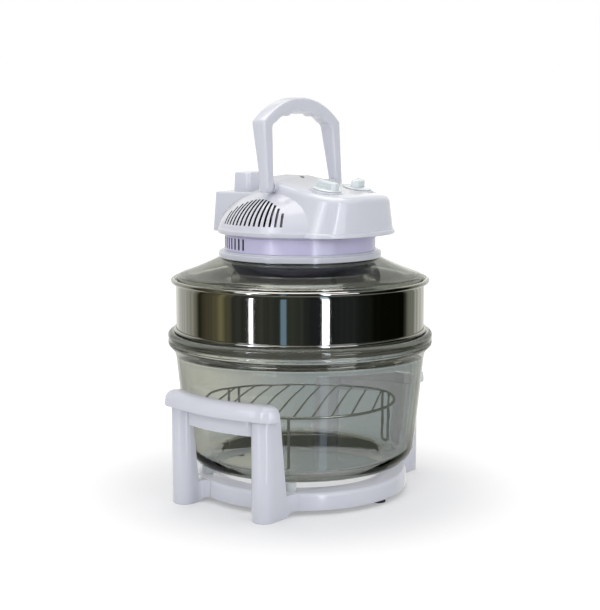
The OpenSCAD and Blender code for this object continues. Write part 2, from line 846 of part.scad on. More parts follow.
module heater_pan() {
    steps = 3;
    slope_r = [for (i = [0:steps]) pan_hat_r + (pan_flange_r - pan_hat_r) * i / steps];
    color(steel)
        difference() {
            turned(concat(
                [[0, pan_roof_z - sheet], [pan_hat_r - sheet, pan_roof_z - sheet]],
                [[pan_hat_r - sheet, pan_flange_z(pan_hat_r) - sheet]],
                [for (i = [1:steps]) [slope_r[i] - sheet, pan_flange_z(slope_r[i]) - sheet]],
                [for (i = [3:-1:1]) [pan_dish[i][0] - sheet, pan_groove_z + pan_dish[i][1] + sheet]],
                [[pan_waist_r - sheet, pan_groove_z + sheet], [pan_waist_r - sheet, pan_groove_z - sheet]],
                [[pan_rim_r - sheet, pan_rim_z + pan_hem - sheet], [pan_rim_r - sheet, pan_rim_z]],
                [[pan_rim_r + pan_hem, pan_rim_z], [pan_rim_r + pan_hem, pan_rim_z + pan_hem]],
                [[pan_rim_r, pan_rim_z + pan_hem]],
                [for (p = pan_dish) [p[0], pan_groove_z + p[1]]],
                [for (i = [steps:-1:0]) [slope_r[i], pan_flange_z(slope_r[i])]],
                [[pan_hat_r, pan_roof_z], [0, pan_roof_z]]));
            translate([0, 0, pan_roof_z - 3])
                cylinder(r = shaft_r + 2, h = 6);
            around(stud_angles, stud_pitch_r)
                translate([0, 0, pan_roof_z - 3])
                    cylinder(r = stud_r + run, h = 6);
        }
}

module lamp_guard() {
    color(steel) {
        for (r = [guard_r, guard_r * 2 / 3, guard_r / 3])
            bead(r, guard_z, guard_wire_r);
        around([0:60:300])
            wire([guard_r / 3, 0, guard_z - 0.5], [guard_r, 0, guard_z - 0.5], guard_wire_r);
    }
}

module halogen_lamp() {
    color([0.95, 0.93, 0.85])
        translate([0, 0, lamp_z])
            rotate([0, 0, holder_angle])
                rotate_extrude(angle = 360 - 2 * holder_angle)
                    translate([lamp_r, 0])
                        circle(r = lamp_tube_r, $fn = 32);
}

module lamp_holders() {
    color([0.9, 0.88, 0.82])
        for (side = [0, 1])
            mirror([0, side, 0])
                rotate([0, 0, holder_angle])
                    translate([lamp_r - holder_w / 2, -holder_t - seat, holder_z])
                        cube([holder_w, holder_t, pan_roof_z - sheet - seat - holder_z]);
}

module thermostat_bulb() {
    color(steel)
        around([200], bulb_start_r) {
            translate([0, 0, bulb_z])
                rotate([0, 90, 0])
                    cylinder(r = bulb_r, h = bulb_len);
            translate([bulb_len / 2, 0, bulb_z])
                cylinder(r = bulb_r / 2, h = pan_roof_z - sheet - bulb_z - seat);
        }
}

module heat_shield() {
    color(steel)
        difference() {
            ring_plate(shaft_r + 2, collar_in_r - 2, shield_z, shield_t);
            around(stud_angles, stud_pitch_r)
                translate([0, 0, shield_z - 1])
                    cylinder(r = stud_r + run, h = 4);
        }
}

// Bolts that hang the pan and the shield from the collar, with a spacer tube between each two plates
module clamp_studs() {
    lip_z = collar_top - head_wall;
    color(steel)
        around(stud_angles, stud_pitch_r)
            union() {
                translate([0, 0, pan_roof_z - sheet - stud_head_h])
                    cylinder(r = stud_head_r, h = stud_head_h);
                translate([0, 0, pan_roof_z - sheet - 1])
                    cylinder(r = stud_r, h = collar_top - pan_roof_z + sheet + 2);
                translate([0, 0, pan_roof_z])
                    cylinder(r = stud_head_r, h = shield_z - pan_roof_z);
                translate([0, 0, shield_z + shield_t])
                    cylinder(r = stud_head_r, h = lip_z - shield_z - shield_t);
                translate([0, 0, collar_top])
                    cylinder(r = stud_head_r, h = stud_head_h);
            }
}

// Motor and fans

module motor_bracket() {
    color(steel)
        difference() {
            translate([-bracket_w / 2, -bracket_len / 2, floor_top])
                cube([bracket_w, bracket_len, bracket_t]);
            translate([0, 0, floor_top - 1])
                cylinder(r = shaft_r + 5, h = bracket_t + 2);
        }
}

module fan_motor() {
    color(dark_steel)
        difference() {
            union() {
                translate([-stack_w / 2, -stack_d / 2, motor_z + stack_rise])
                    cube([stack_w, stack_d, stack_h]);
                translate([0, 0, motor_z])
                    cylinder(r = rotor_r, h = motor_h);
                translate([-coil_w / 2, stack_d / 2 - 3, motor_z + stack_rise - 3])
                    cube([coil_w, coil_d, coil_h]);
            }
            translate([0, 0, motor_z - 1])
                cylinder(r = shaft_r + run, h = motor_h + 2);
        }
}

module motor_shaft() {
    color(steel)
        translate([0, 0, fan_z - 2])
            cylinder(r = shaft_r, h = motor_z + motor_h + 2 - fan_z + 2);
}

// A fan wheel: a disc, a hub on the shaft and flat blades
module fan_wheel(r, z, h, blades) {
    hub_r = 8;
    difference() {
        union() {
            translate([0, 0, z + h])
                cylinder(r = r, h = 1);
            translate([0, 0, z])
                cylinder(r = hub_r, h = h + 1);
            around([for (i = [0:blades - 1]) 360 * i / blades])
                translate([hub_r - 2, -0.5, z])
                    cube([r - hub_r + 0.5, 1, h + 0.5]);
        }
        translate([0, 0, z - 1])
            cylinder(r = shaft_r + run, h = h + 3);
    }
}

module convection_fan() {
    color(steel)
        fan_wheel(fan_r, fan_z, fan_h, 8);
}

module cooling_fan() {
    color(dark_steel)
        fan_wheel(cooler_r, cooler_z, cooler_h, 12);
}

// Top housing

// Half of the console's outline, from the middle of its front round the right side to the middle of its rear
function console_half(hw, mid_y, front_y, square, rear_hw, rear_y, round_r) = concat(
    [for (i = [0:14]) let (a = 90 * i / 14)
        [hw * pow(sin(a), 2 / square), mid_y - (mid_y - front_y) * pow(cos(a), 2 / square)]],
    [for (i = [1:3]) [hw + (rear_hw - hw) * i / 4, mid_y + (rear_y - round_r - mid_y) * i / 4]],
    arc(rear_hw - round_r, rear_y - round_r, round_r, 0, 90, 4),
    [[0, rear_y]]);
function closed_half(half) = concat([for (i = [0:len(half) - 1]) half[i]],
    [for (i = [len(half) - 2:-1:1]) [-half[i][0], half[i][1]]]);
function console_low(inset) = closed_half(console_half(console_hw - inset, console_mid_y,
    inset - console_reach, square_low, console_rear_low_hw - inset, console_rear_y - inset, 12 - inset));
function console_edge(inset) = closed_half(console_half(console_top_hw - inset, console_top_y,
    inset + console_front_draft - console_reach, square_top, console_rear_hw - inset, console_rear_y - inset,
    12 - inset));
function on_top(outline, drop) = [for (p = outline) [p[0], p[1], console_z(p[0], p[1]) - drop]];
function shrunk(outline, k) = let (y = console_top_y / 2) [for (p = outline) [p[0] * k, y + (p[1] - y) * k]];

module console_body(wall = 0, low = 0) {
    loft(concat(
        [[for (p = console_low(wall)) [p[0], p[1], housing_z + low]]],
        [on_top(console_edge(wall), bevel_h + wall / 2)],
        [for (a = [30, 60])
            on_top(console_edge(wall + bevel_w * (1 - cos(a))), wall + bevel_h * (1 - sin(a)))],
        [on_top(console_edge(wall + bevel_w), wall)],
        [for (k = [0.6, 0.25]) on_top(shrunk(console_edge(wall + bevel_w), k), wall)]));
}

module dome_body(wall = 0, low = 0) {
    turned(concat([[0, housing_z + low]],
        quarter(0, housing_z, dome_r - wall, dome_h - wall, 0, 90, 14)));
}

// A box with rounded upright edges that narrows by its draft on every side, about (0, y)
module drafted_box(w, d, y, z_low, z_high, draft, round_r) {
    loft([for (ring = [[w, d, z_low], [w - 2 * draft, d - 2 * draft, z_high]])
        [for (p = rounded_rect(ring[0], ring[1], round_r)) [p[0], p[1] + y, ring[2]]]]);
}

module block_body(wall = 0, low = 0) {
    d = block_reach - block_in_y;
    drafted_box(block_w - 2 * wall, d - 2 * wall, block_in_y + d / 2, housing_z + low,
        housing_z + block_h - wall, block_draft, block_round);
}

module tower_body(wall = 0) {
    drafted_box(tower_w - 2 * wall, tower_d - 2 * wall, tower_y, tower_z - 5, tower_top - wall, 1, 6);
}

// The slots are cut square to the dome, each up to the arch that their tops follow
module side_vents() {
    arch_w = vent_pitch * (vent_count + 1) / 2;
    for (i = [0:vent_count - 1]) {
        a = (i - (vent_count - 1) / 2) * vent_pitch;
        rise = 30 * sqrt(1 - pow(a / arch_w, 2)) + 1;
        rotate([0, 0, vent_mid_angle + a])
            translate([dome_r / 2 + 12, -vent_w / 2, vent_z])
                cube([dome_r / 2, vent_w, rise]);
    }
}

module at_knob(side) {
    translate([side * knob_x, -knob_y, knob_z])
        rotate([console_tilt, 0, 0])
            children();
}

module at_lens() {
    translate([lens_x, lens_y, console_z(lens_x, lens_y)])
        rotate([console_tilt, 0, 0])
            children();
}

// The rear block's back face leans forward by its draft
module at_inlet() {
    translate([0, block_reach - block_draft * inlet_rise / block_h, housing_z + inlet_rise])
        rotate([atan(block_draft / block_h), 0, 0])
            children();
}

module top_housing() {
    color(white_plastic)
        difference() {
            union() {
                difference() {
                    union() {
                        console_body();
                        dome_body();
                        block_body();
                        tower_body();
                        for (side = [-1, 1])
                            at_knob(side)
                                translate([0, 0, -rest_gap - knob_seat_h])
                                    cylinder(r = knob_r + 1.5, h = knob_seat_h);
                    }
                    union() {
                        console_body(head_wall, -1);
                        dome_body(head_wall, -1);
                        block_body(head_wall, -1);
                        tower_body(head_wall);
                    }
                }
                for (side = [0, 1])
                    mirror([side, 0, 0])
                        translate([pivot_boss_start, -pivot_y, pivot_z])
                            rotate([0, 90, 0])
                                cylinder(r = pivot_boss_r, h = pivot_boss_end - pivot_boss_start);
                for (p = housing_screws_at)
                    translate([p[0], p[1], floor_top + seat])
                        cylinder(r = boss_screw_r, h = boss_top(p) - floor_top - seat);
            }
            for (side = [0, 1])
                mirror([side, 0, 0]) {
                    side_vents();
                    translate([pivot_boss_start - 1, -pivot_y, pivot_z])
                        rotate([0, 90, 0])
                            cylinder(r = pin_r + run, h = pivot_boss_end - pivot_boss_start + 2);
                }
            for (side = [-1, 1])
                at_knob(side)
                    translate([0, 0, -knob_seat_h - 1])
                        cylinder(r = knob_shaft_r + 1, h = knob_seat_h + 2);
            for (p = housing_screws_at)
                translate([p[0], p[1], floor_z])
                    cylinder(r = screw_r + run, h = housing_screw_len + 2);
            at_lens()
                translate([0, 0, -head_wall - 1])
                    cylinder(r = lens_r + run, h = head_wall + 2);
            at_inlet()
                translate([-inlet_w / 2 - seat, -head_wall - 1, -inlet_h / 2 - seat])
                    cube([inlet_w + 2 * seat, head_wall + 2, inlet_h + 2 * seat]);
        }
}

module floor_outline(inset) {
    union() {
        circle(r = dome_r - inset);
        polygon(console_low(inset + floor_lean));
        translate([0, (block_reach + block_in_y) / 2])
            polygon(rounded_rect(block_w - 2 * (inset + block_lean),
                block_reach - block_in_y - 2 * (inset + block_lean), block_round));
    }
}

module housing_floor() {
    color(white_plastic)
        difference() {
            union() {
                translate([0, 0, floor_z])
                    linear_extrude(floor_t)
                        floor_outline(head_wall + rest_gap);
                translate([-switch_x - switch_w / 2, -pivot_y - switch_d / 2, floor_top - 1])
                    cube([switch_w, switch_d, switch_top - switch_h - seat - floor_top + 1]);
            }
            translate([0, 0, floor_z - 1])
                cylinder(r = floor_bore_r, h = floor_t + 2);
            around(stud_angles, stud_pitch_r)
                translate([0, 0, floor_z - 1])
                    cylinder(r = stud_head_r + rest_gap, h = floor_t + 2);
            for (p = housing_screws_at)
                translate([p[0], p[1], floor_z - 1])
                    cylinder(r = screw_r + 0.3, h = floor_t + 2);
        }
}

module housing_screws() {
    color(steel)
        for (p = housing_screws_at)
            translate([p[0], p[1], floor_z])
                screw_up(housing_screw_len);
}

// Controls

module control_body(side, w, d) {
    at_knob(side)
        difference() {
            translate([-w / 2, -d / 2, control_foot])
                cube([w, d, control_h]);
            translate([0, 0, control_foot + 4])
                cylinder(r = knob_shaft_r + run, h = control_h);
        }
}

module thermostat() {
    color([0.75, 0.72, 0.65])
        control_body(1, 30, 24);
}

module timer() {
    color([0.55, 0.5, 0.4])
        control_body(-1, 34, 30);
}

// A knob: a thin disc, a bar grip across it and the shaft below it
module knob(side, turn) {
    color(white_plastic)
        at_knob(side)
            rotate([0, 0, turn]) {
                cylinder(r = knob_r, h = knob_disc_h);
                translate([0, -knob_bar_len / 2, 0])
                    rotate([90, 0, 180])
                        linear_extrude(knob_bar_len)
                            polygon(concat([[knob_bar_w / 2, 0.5]],
                                arc(knob_bar_w / 2 - 3, knob_h - 3, 2.4, 0, 90, 4),
                                arc(3 - knob_bar_w / 2, knob_h - 3, 2.4, 90, 180, 4),
                                [[-knob_bar_w / 2, 0.5]]));
                translate([0, 0, control_foot + 6])
                    cylinder(r = knob_shaft_r, h = knob_disc_h - 1 - control_foot - 6);
            }
}

module thermostat_knob() {
    knob(1, thermostat_turn);
}

module timer_knob() {
    knob(-1, 0);
}

module indicator_lens() {
    color([0.8, 0.3, 0.2])
        at_lens() {
            translate([0, 0, -lens_flange_drop - lens_flange_t])
                cylinder(r = lens_r, h = lens_flange_drop + lens_flange_t + 0.6);
            translate([0, 0, -lens_flange_drop - lens_flange_t])
                cylinder(r = lens_r + 1.2, h = lens_flange_t);
        }
}

// Mains inlet: a socket let into the rear block, with its pins

module power_inlet() {
    color(dark_steel)
        at_inlet()
            difference() {
                union() {
                    translate([-inlet_w / 2, -inlet_depth, -inlet_h / 2])
                        cube([inlet_w, inlet_depth + 1, inlet_h]);
                    translate([-inlet_w / 2 - inlet_wall, seat, -inlet_h / 2 - inlet_wall])
                        cube([inlet_w + 2 * inlet_wall, 1.2, inlet_h + 2 * inlet_wall]);
                }
                translate([-inlet_w / 2 + inlet_wall, 3 - inlet_depth, -inlet_h / 2 + inlet_wall])
                    cube([inlet_w - 2 * inlet_wall, inlet_depth, inlet_h - 2 * inlet_wall]);
                for (p = inlet_pins_at)
                    translate([p[0] - inlet_pin_w / 2 - run, -inlet_depth - 1, p[1] - inlet_pin_h / 2 - run])
                        cube([inlet_pin_w + 2 * run, 6, inlet_pin_h + 2 * run]);
            }
}

module inlet_pins() {
    color(steel)
        at_inlet()
            for (p = inlet_pins_at)
                translate([p[0] - inlet_pin_w / 2, -inlet_depth - 4, p[1] - inlet_pin_h / 2])
                    cube([inlet_pin_w, inlet_depth, inlet_pin_h]);
}

// Bail handle

function bail_outer() = let (a = acos(bail_hw / bail_crown_r), z0 = pivot_z + bail_h - bail_crown_r)
    concat([[bail_hw, pivot_z - bail_sink]], arc(0, z0, bail_crown_r, a, 180 - a, 24),
        [[-bail_hw, pivot_z - bail_sink]]);
// The grip's underside: four finger hollows with ridges between them, falling off towards the legs
function finger_z(x) = let (u = abs(x) / scallop_pitch, phase = u - floor(u))
    pivot_z + bail_h - bail_crown_t - bail_finger_fall * x * x - scallop_depth * pow(2 * phase - 1, 2);
function bail_inner() = let (n = 48, r = bail_inner_r, span = bail_shoulder_in - r, z = finger_z(span) - r)
    concat([[-bail_foot_in, pivot_z - bail_sink]], arc(-span, z, r, 180, 100, 5),
        [for (i = [1:n - 1]) let (x = -span + 2 * span * i / n) [x, finger_z(x)]],
        arc(span, z, r, 80, 0, 5), [[bail_foot_in, pivot_z - bail_sink]]);

module bail_handle() {
    top = pivot_z + bail_h + 1;
    shoulder = pivot_z + bail_h - 30;
    front = -pivot_y - bail_foot_r;
    rear = -pivot_y + bail_foot_r;
    color(white_plastic)
        difference() {
            intersection() {
                translate([0, bail_hw, 0])
                    rotate([90, 0, 0])
                        linear_extrude(2 * bail_hw)
                            difference() {
                                polygon(bail_outer());
                                polygon(bail_inner());
                            }
                translate([-bail_hw - 1, 0, 0])
                    rotate([90, 0, 90])
                        linear_extrude(2 * bail_hw + 2)
                            polygon(concat(arc(-pivot_y, pivot_z, bail_foot_r, 180, 360, 16),
                                [[rear + bail_rear_rise, shoulder], [rear + bail_rear_rise, top],
                                [front + bail_front_rise, top], [front + bail_front_rise, shoulder]]));
            }
            for (side = [0, 1])
                mirror([side, 0, 0])
                    translate([bail_foot_in - 2, -pivot_y, pivot_z])
                        rotate([0, 90, 0])
                            cylinder(r = pin_r + run, h = bail_leg_t + 2 - pin_blind);
        }
}

// The left pin carries a cam inside the housing, which grows over the bail's fold
module bail_pins() {
    color(steel) {
        for (side = [0, 1])
            mirror([side, 0, 0])
                translate([cam_x, -pivot_y, pivot_z])
                    rotate([0, 90, 0])
                        cylinder(r = pin_r, h = bail_hw - pin_blind - 0.4 - cam_x);
        translate([-cam_x - cam_w, -pivot_y, pivot_z])
            rotate([90, 0, 90])
                linear_extrude(cam_w)
                    polygon(concat([[0, 1], [-1, 0]],
                        [for (i = [12:-1:0]) let (f = bail_fold * i / 12)
                            (cam_r + cam_lift * i / 12) * [cos(270 - f), sin(270 - f)]],
                        [for (f = [10, 20]) cam_r * [cos(270 + f), sin(270 + f)]], [[1, 0]]));
    }
}

module safety_switch() {
    color([0.15, 0.15, 0.15])
        difference() {
            translate([-switch_x - switch_w / 2, -pivot_y - switch_d / 2, switch_top - switch_h])
                cube([switch_w, switch_d, switch_h]);
            translate([-switch_x, -pivot_y, switch_top - switch_h + 3])
                cylinder(r = plunger_r + run, h = switch_h);
        }
}

module switch_plunger() {
    color([0.8, 0.2, 0.2])
        translate([-switch_x, -pivot_y, switch_top - plunger_in])
            cylinder(r = plunger_r, h = pivot_z - cam_r - rest_gap - switch_top + plunger_in);
}

base_ring();
base_feet();
bowl_pads();
right_handle_frame();
left_handle_frame();
right_grip();
left_grip();
base_screws();
glass_bowl();
wire_rack();
extender_ring();
lid_glass();
lid_gasket();
flange_ring();
vent_collar();
heater_pan();
lamp_guard();
halogen_lamp();
lamp_holders();
thermostat_bulb();
heat_shield();
clamp_studs();
motor_bracket();
fan_motor();
motor_shaft();
convection_fan();
cooling_fan();
housing_floor();
top_housing();
housing_screws();
thermostat();
timer();
thermostat_knob();
timer_knob();
indicator_lens();
power_inlet();
inlet_pins();
bail_handle();
bail_pins();
safety_switch();
switch_plunger();
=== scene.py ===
# %% [markdown]
# # A glass bowl oven with a heater lid
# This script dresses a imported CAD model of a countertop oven: a glass bowl on a handled base,
# a steel extender ring, and a glass lid that carries the heater, its housing and a bail handle.
# Each cell first says what a piece is on the real oven, and then builds it or gives it its finish.

# %% Load the frame
import math

import bmesh
import bpy
from mathutils import Matrix, Vector


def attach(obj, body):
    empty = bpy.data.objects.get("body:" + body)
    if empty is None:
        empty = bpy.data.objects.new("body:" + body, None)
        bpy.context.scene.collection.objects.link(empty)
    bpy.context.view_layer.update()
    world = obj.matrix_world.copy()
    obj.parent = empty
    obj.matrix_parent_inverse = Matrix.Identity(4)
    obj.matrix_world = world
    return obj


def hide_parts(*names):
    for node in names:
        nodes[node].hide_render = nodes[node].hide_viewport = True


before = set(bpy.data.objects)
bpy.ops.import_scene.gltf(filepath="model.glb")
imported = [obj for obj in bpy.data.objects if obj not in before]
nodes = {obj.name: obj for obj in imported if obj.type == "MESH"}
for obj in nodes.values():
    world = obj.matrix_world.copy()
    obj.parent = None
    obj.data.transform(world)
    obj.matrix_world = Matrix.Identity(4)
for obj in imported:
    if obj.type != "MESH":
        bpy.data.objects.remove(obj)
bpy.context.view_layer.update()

# %% [markdown]
# Sizes are written in millimetres, as on a drawing, and Blender works in metres. One small
# function turns points over, so that every list below reads like the drawing. Two more give a
# shift and a turn as matrices, and another gives the points of an arc.


# %% Points in millimetres
def mm(*values):
    """Millimetres to metres, as a vector of as many numbers as came in."""
    return Vector([v / 1000 for v in values])


def at(x, y, z):
    """A shift in mm, as a matrix."""
    return Matrix.Translation(mm(x, y, z))


def turn(angle, axis="Z"):
    """A turn in degrees about an axis, as a matrix."""
    return Matrix.Rotation(math.radians(angle), 4, axis)


def arc(x, y, rx, ry, start, end, steps):
    """Points of an arc or a piece of an ellipse about (x, y), in degrees."""
    turns = [math.radians(start + (end - start) * i / steps) for i in range(steps + 1)]
    return [(x + rx * math.cos(t), y + ry * math.sin(t)) for t in turns]


# %% [markdown]
# ## Finishes
# Paint charts give colours as sRGB hex values, and a shader wants linear light, so one function
# does that change everywhere. Another adds a node with its settings and its links in one line,
# which keeps each finish short enough to read as a recipe.


# %% Colour and node helpers
def srgb(code):
    """A hex colour as linear red, green, blue and an alpha of one."""
    parts = [int(code[i : i + 2], 16) / 255 for i in (1, 3, 5)]
    return (*[p / 12.92 if p <= 0.04045 else ((p + 0.055) / 1.055) ** 2.4 for p in parts], 1.0)


def add(tree, kind, inputs=None, **settings):
    """Adds a node. Settings are its own properties, and each input is a value or a link."""
    made = tree.nodes.new(kind)
    for name, value in settings.items():
        setattr(made, name, value)
    for name, value in (inputs or {}).items():
        if isinstance(value, bpy.types.NodeSocket):
            tree.links.new(value, made.inputs[name])
        else:
            made.inputs[name].default_value = value
    return made


def finish(name):
    """An empty material with its node tree, and the object coordinates that its patterns read."""
    made = bpy.data.materials.new(name)
    made.use_nodes = True
    made.node_tree.nodes.clear()
    place = add(made.node_tree, "ShaderNodeTexCoord").outputs["Object"]
    return made, made.node_tree, place


def close(tree, surface):
    """Links the last shader to the material's output."""
    add(tree, "ShaderNodeOutputMaterial", {"Surface": surface.outputs[0]})


def per_mm(size):
    """The noise scale whose features are about this many millimetres wide."""
    return 1000 / size


# %% [markdown]
# The base, the housing and the bail are injection-moulded ABS in a cool white. A polished mould
# leaves it glossy, with a faint orange peel a few millimetres wide, and colour that drifts by
# about one part in a hundred across a thick and a thin wall. Its IOR is about 1.54, and a
# roughness of 0.15 gives the gloss that the photograph shows. The knobs are the same plastic, and
# so is the collar, which is tinted lilac.


# %% Moulded plastics
ABS_IOR = 1.54


def moulded(name, light, dark, rough, peel_mm, peel_depth):
    """A moulded plastic: two close shades in a slow drift, uneven gloss and orange peel."""
    made, tree, place = finish(name)
    drift = add(tree, "ShaderNodeTexNoise", {"Vector": place, "Scale": per_mm(90), "Detail": 2.0})
    shade = add(tree, "ShaderNodeMix", {
        "Factor": drift.outputs["Fac"], "A": srgb(light), "B": srgb(dark)}, data_type="RGBA")
    touch = add(tree, "ShaderNodeTexNoise", {"Vector": place, "Scale": per_mm(14), "Detail": 3.0})
    gloss = add(tree, "ShaderNodeMapRange", {
        "Value": touch.outputs["Fac"], "To Min": rough - 0.04, "To Max": rough + 0.05})
    peel = add(tree, "ShaderNodeTexNoise", {
        "Vector": place, "Scale": per_mm(peel_mm), "Detail": 1.0})
    bump = add(tree, "ShaderNodeBump", {
        "Height": peel.outputs["Fac"], "Strength": 0.35, "Distance": peel_depth / 1000})
    close(tree, add(tree, "ShaderNodeBsdfPrincipled", {
        "Base Color": shade.outputs["Result"], "Roughness": gloss.outputs["Result"],
        "IOR": ABS_IOR, "Normal": bump.outputs["Normal"]}))
    return made


abs_white = moulded("abs_polished_cool_white", "#E3E4EB", "#DDDEE6", 0.15, 3.0, 0.03)
abs_lilac = moulded("abs_satin_lilac", "#DAD6F0", "#D2CEEA", 0.18, 1.2, 0.02)
abs_knob = moulded("abs_polished_knob_white", "#EAF0F1", "#E2E9EA", 0.20, 3.0, 0.02)
phenolic = moulded("phenolic_brown", "#8C7A5C", "#7D6C50", 0.5, 0.8, 0.03)
nylon_black = moulded("nylon_black", "#1B1B1D", "#232326", 0.45, 0.8, 0.03)
# A near-black finish for hollows, slot walls and the sheet behind the collar's slots: painted
# shade.
painted_shade_black = moulded("painted_shade_near_black", "#0D0D0F", "#111114", 0.7, 2.0, 0.02)
print("plastics:", abs_white.name, abs_lilac.name, abs_knob.name, phenolic.name, nylon_black.name)

# %% [markdown]
# The bowl is pressed soda-lime glass with a grey-green cast from its iron, thick enough to tint
# what stands behind it. Pressing leaves slow waves, tens of millimetres long, that bend the view.
# The lid is a tempered sheet of the same glass. Principled with full transmission gives both,
# with an IOR of 1.52 and the tint in its base colour, since light pays it at each surface.


# %% Glass
GLASS_IOR = 1.52


def glass(name, tint, wave_mm, wave_depth, rough=0.02):
    """Clear glass with a tint and the slow waves that pressing leaves."""
    made, tree, place = finish(name)
    wave = add(tree, "ShaderNodeTexNoise", {
        "Vector": place, "Scale": per_mm(wave_mm), "Detail": 1.0})
    bump = add(tree, "ShaderNodeBump", {
        "Height": wave.outputs["Fac"], "Strength": 0.4, "Distance": wave_depth / 1000})
    smear = add(tree, "ShaderNodeTexNoise", {"Vector": place, "Scale": per_mm(60), "Detail": 4.0})
    gloss = add(tree, "ShaderNodeMapRange", {
        "Value": smear.outputs["Fac"], "To Min": rough * 0.6, "To Max": rough * 1.6})
    close(tree, add(tree, "ShaderNodeBsdfPrincipled", {
        "Base Color": srgb(tint), "Roughness": gloss.outputs["Result"], "IOR": GLASS_IOR,
        "Transmission Weight": 1.0, "Normal": bump.outputs["Normal"]}))
    return made


bowl_glass = glass("glass_pressed_grey_green", "#EBECE8", 26, 0.5)
lid_glass = glass("glass_tempered_lid", "#E6E7E0", 40, 0.25)
quartz = glass("quartz_lamp_tube", "#EFE9DC", 12, 0.05, 0.08)
print("glasses:", bowl_glass.name, lid_glass.name, quartz.name)

# %% [markdown]
# The extender ring is rolled from bright stainless strip. Its mirror shows the room, softened a
# little across the rolling direction, which runs round the ring, so the fine streaks are long
# round the ring and short up it: the height is stretched in the noise. A metal keeps the default
# IOR, and its colour is its reflectance. The heater pan is a duller pressing of the same strip,
# and its lower part takes a darker blue-grey copy of that steel: a painted dark reflection.


# %% Metals
def metal(name, colour, rough, streak, grain_mm, depth):
    """A bright metal with streaks: grain_mm across them, and streak times as long along them."""
    made, tree, place = finish(name)
    stretch = add(tree, "ShaderNodeMapping", {"Vector": place, "Scale": (1.0, 1.0, streak)})
    grain = add(tree, "ShaderNodeTexNoise", {
        "Vector": stretch.outputs["Vector"], "Scale": per_mm(grain_mm * streak), "Detail": 3.0})
    gloss = add(tree, "ShaderNodeMapRange", {
        "Value": grain.outputs["Fac"], "To Min": rough * 0.7, "To Max": rough * 1.4})
    bump = add(tree, "ShaderNodeBump", {
        "Height": grain.outputs["Fac"], "Strength": 0.15, "Distance": depth / 1000})
    close(tree, add(tree, "ShaderNodeBsdfPrincipled", {
        "Base Color": srgb(colour), "Metallic": 1.0, "Roughness": gloss.outputs["Result"],
        "Normal": bump.outputs["Normal"]}))
    return made


steel_mirror = metal("stainless_bright_rolled", "#B9B7B4", 0.06, 12.0, 0.8, 0.01)
steel_pan = metal("stainless_pressed_pan", "#CACDD4", 0.16, 1.0, 6.0, 0.05)
# A darker copy of the pan's steel for its lower part: a painted dark reflection.
steel_painted_dark = metal("stainless_painted_dark_reflection", "#3B414C", 0.20, 1.0, 6.0, 0.05)
chrome_wire = metal("chrome_plated_wire", "#D2D4D5", 0.16, 1.0, 3.0, 0.01)
zinc = metal("zinc_plated_steel", "#A8AAAC", 0.35, 1.0, 2.0, 0.03)
motor_steel = metal("laminated_motor_steel", "#4A4B50", 0.45, 20.0, 0.5, 0.05)
brass = metal("nickelled_brass", "#C9BC9A", 0.3, 1.0, 2.0, 0.01)
print("metals:", steel_mirror.name, steel_pan.name, steel_painted_dark.name, chrome_wire.name, zinc.name)

# %% [markdown]
# The small soft pieces are moulded: grey rubber feet, translucent silicone pads and a gasket. The
# lamp's holders are glazed steatite, a warm white ceramic, and the pilot lens is tinted acrylic.
# All of them take the plastics' recipe, with their own gloss and grain.

# %% Rubber, silicone and ceramic
rubber = moulded("rubber_grey", "#3A3A3C", "#333335", 0.75, 0.6, 0.05)
silicone = moulded("silicone_translucent", "#DFE4E2", "#D6DCDA", 0.4, 2.0, 0.02)
ceramic = moulded("steatite_glazed", "#E6E0D0", "#DDD6C4", 0.3, 2.0, 0.03)
lens_amber = moulded("acrylic_lens_smoked_amber", "#5A3A2C", "#4C3025", 0.15, 2.0, 0.01)
print("soft and ceramic:", rubber.name, silicone.name, ceramic.name, lens_amber.name)

# %% [markdown]
# ## Camera, floor and light
# A bmesh is a mesh while it is worked on. It has to become a mesh, the mesh goes into an object,
# and the object into the scene. Two small functions do that for everything below.


# %% From bmesh to object
def as_mesh(bm, name):
    """The mesh that a bmesh has become. The bmesh is freed."""
    mesh = bpy.data.meshes.new(name)
    bm.to_mesh(mesh)
    bm.free()
    return mesh


def into_scene(name, data):
    """An object that holds a mesh, a lamp or a camera, in the scene."""
    made = bpy.data.objects.new(name, data)
    bpy.context.scene.collection.objects.link(made)
    return made


# %% [markdown]
# The camera stands where the photographer did: left of the front, a little above the rim, about
# 1.6 m away. The long lens was worked out from how much flatter the rims look at the top than
# lower down. The picture's long side is its height, so the sensor's 36 mm lies along that.

# %% Camera
CAMERA_SIDE = -141.69  # degrees from the X axis round to the camera
CAMERA_RIGHT = (0.62, -0.785, 0)  # the direction that is to the right in the picture

camera = into_scene("camera", bpy.data.cameras.new("camera"))
camera.location = mm(-1260.4, -995.6, 458.9)
camera.rotation_euler = [math.radians(a) for a in (82.07, 0, -51.69)]
camera.data.sensor_width = 36
camera.data.lens = 75.05
camera.data.clip_end = 60
bpy.context.scene.camera = camera
bpy.context.scene.view_settings.view_transform = "Standard"
print("camera at", [round(v, 3) for v in camera.location], "lens", camera.data.lens)

# %% [markdown]
# A studio sweep would do for the white background, but its light would wash out the object. So
# the world and the floor sort the rays that reach them. A ray straight from the camera finds
# plain white. One that came through glass finds the grey wall of a room, because clear glass has
# hardly an edge against white. One that polished steel has mirrored finds a dim room, and matt
# surfaces get a soft plain grey from the world.


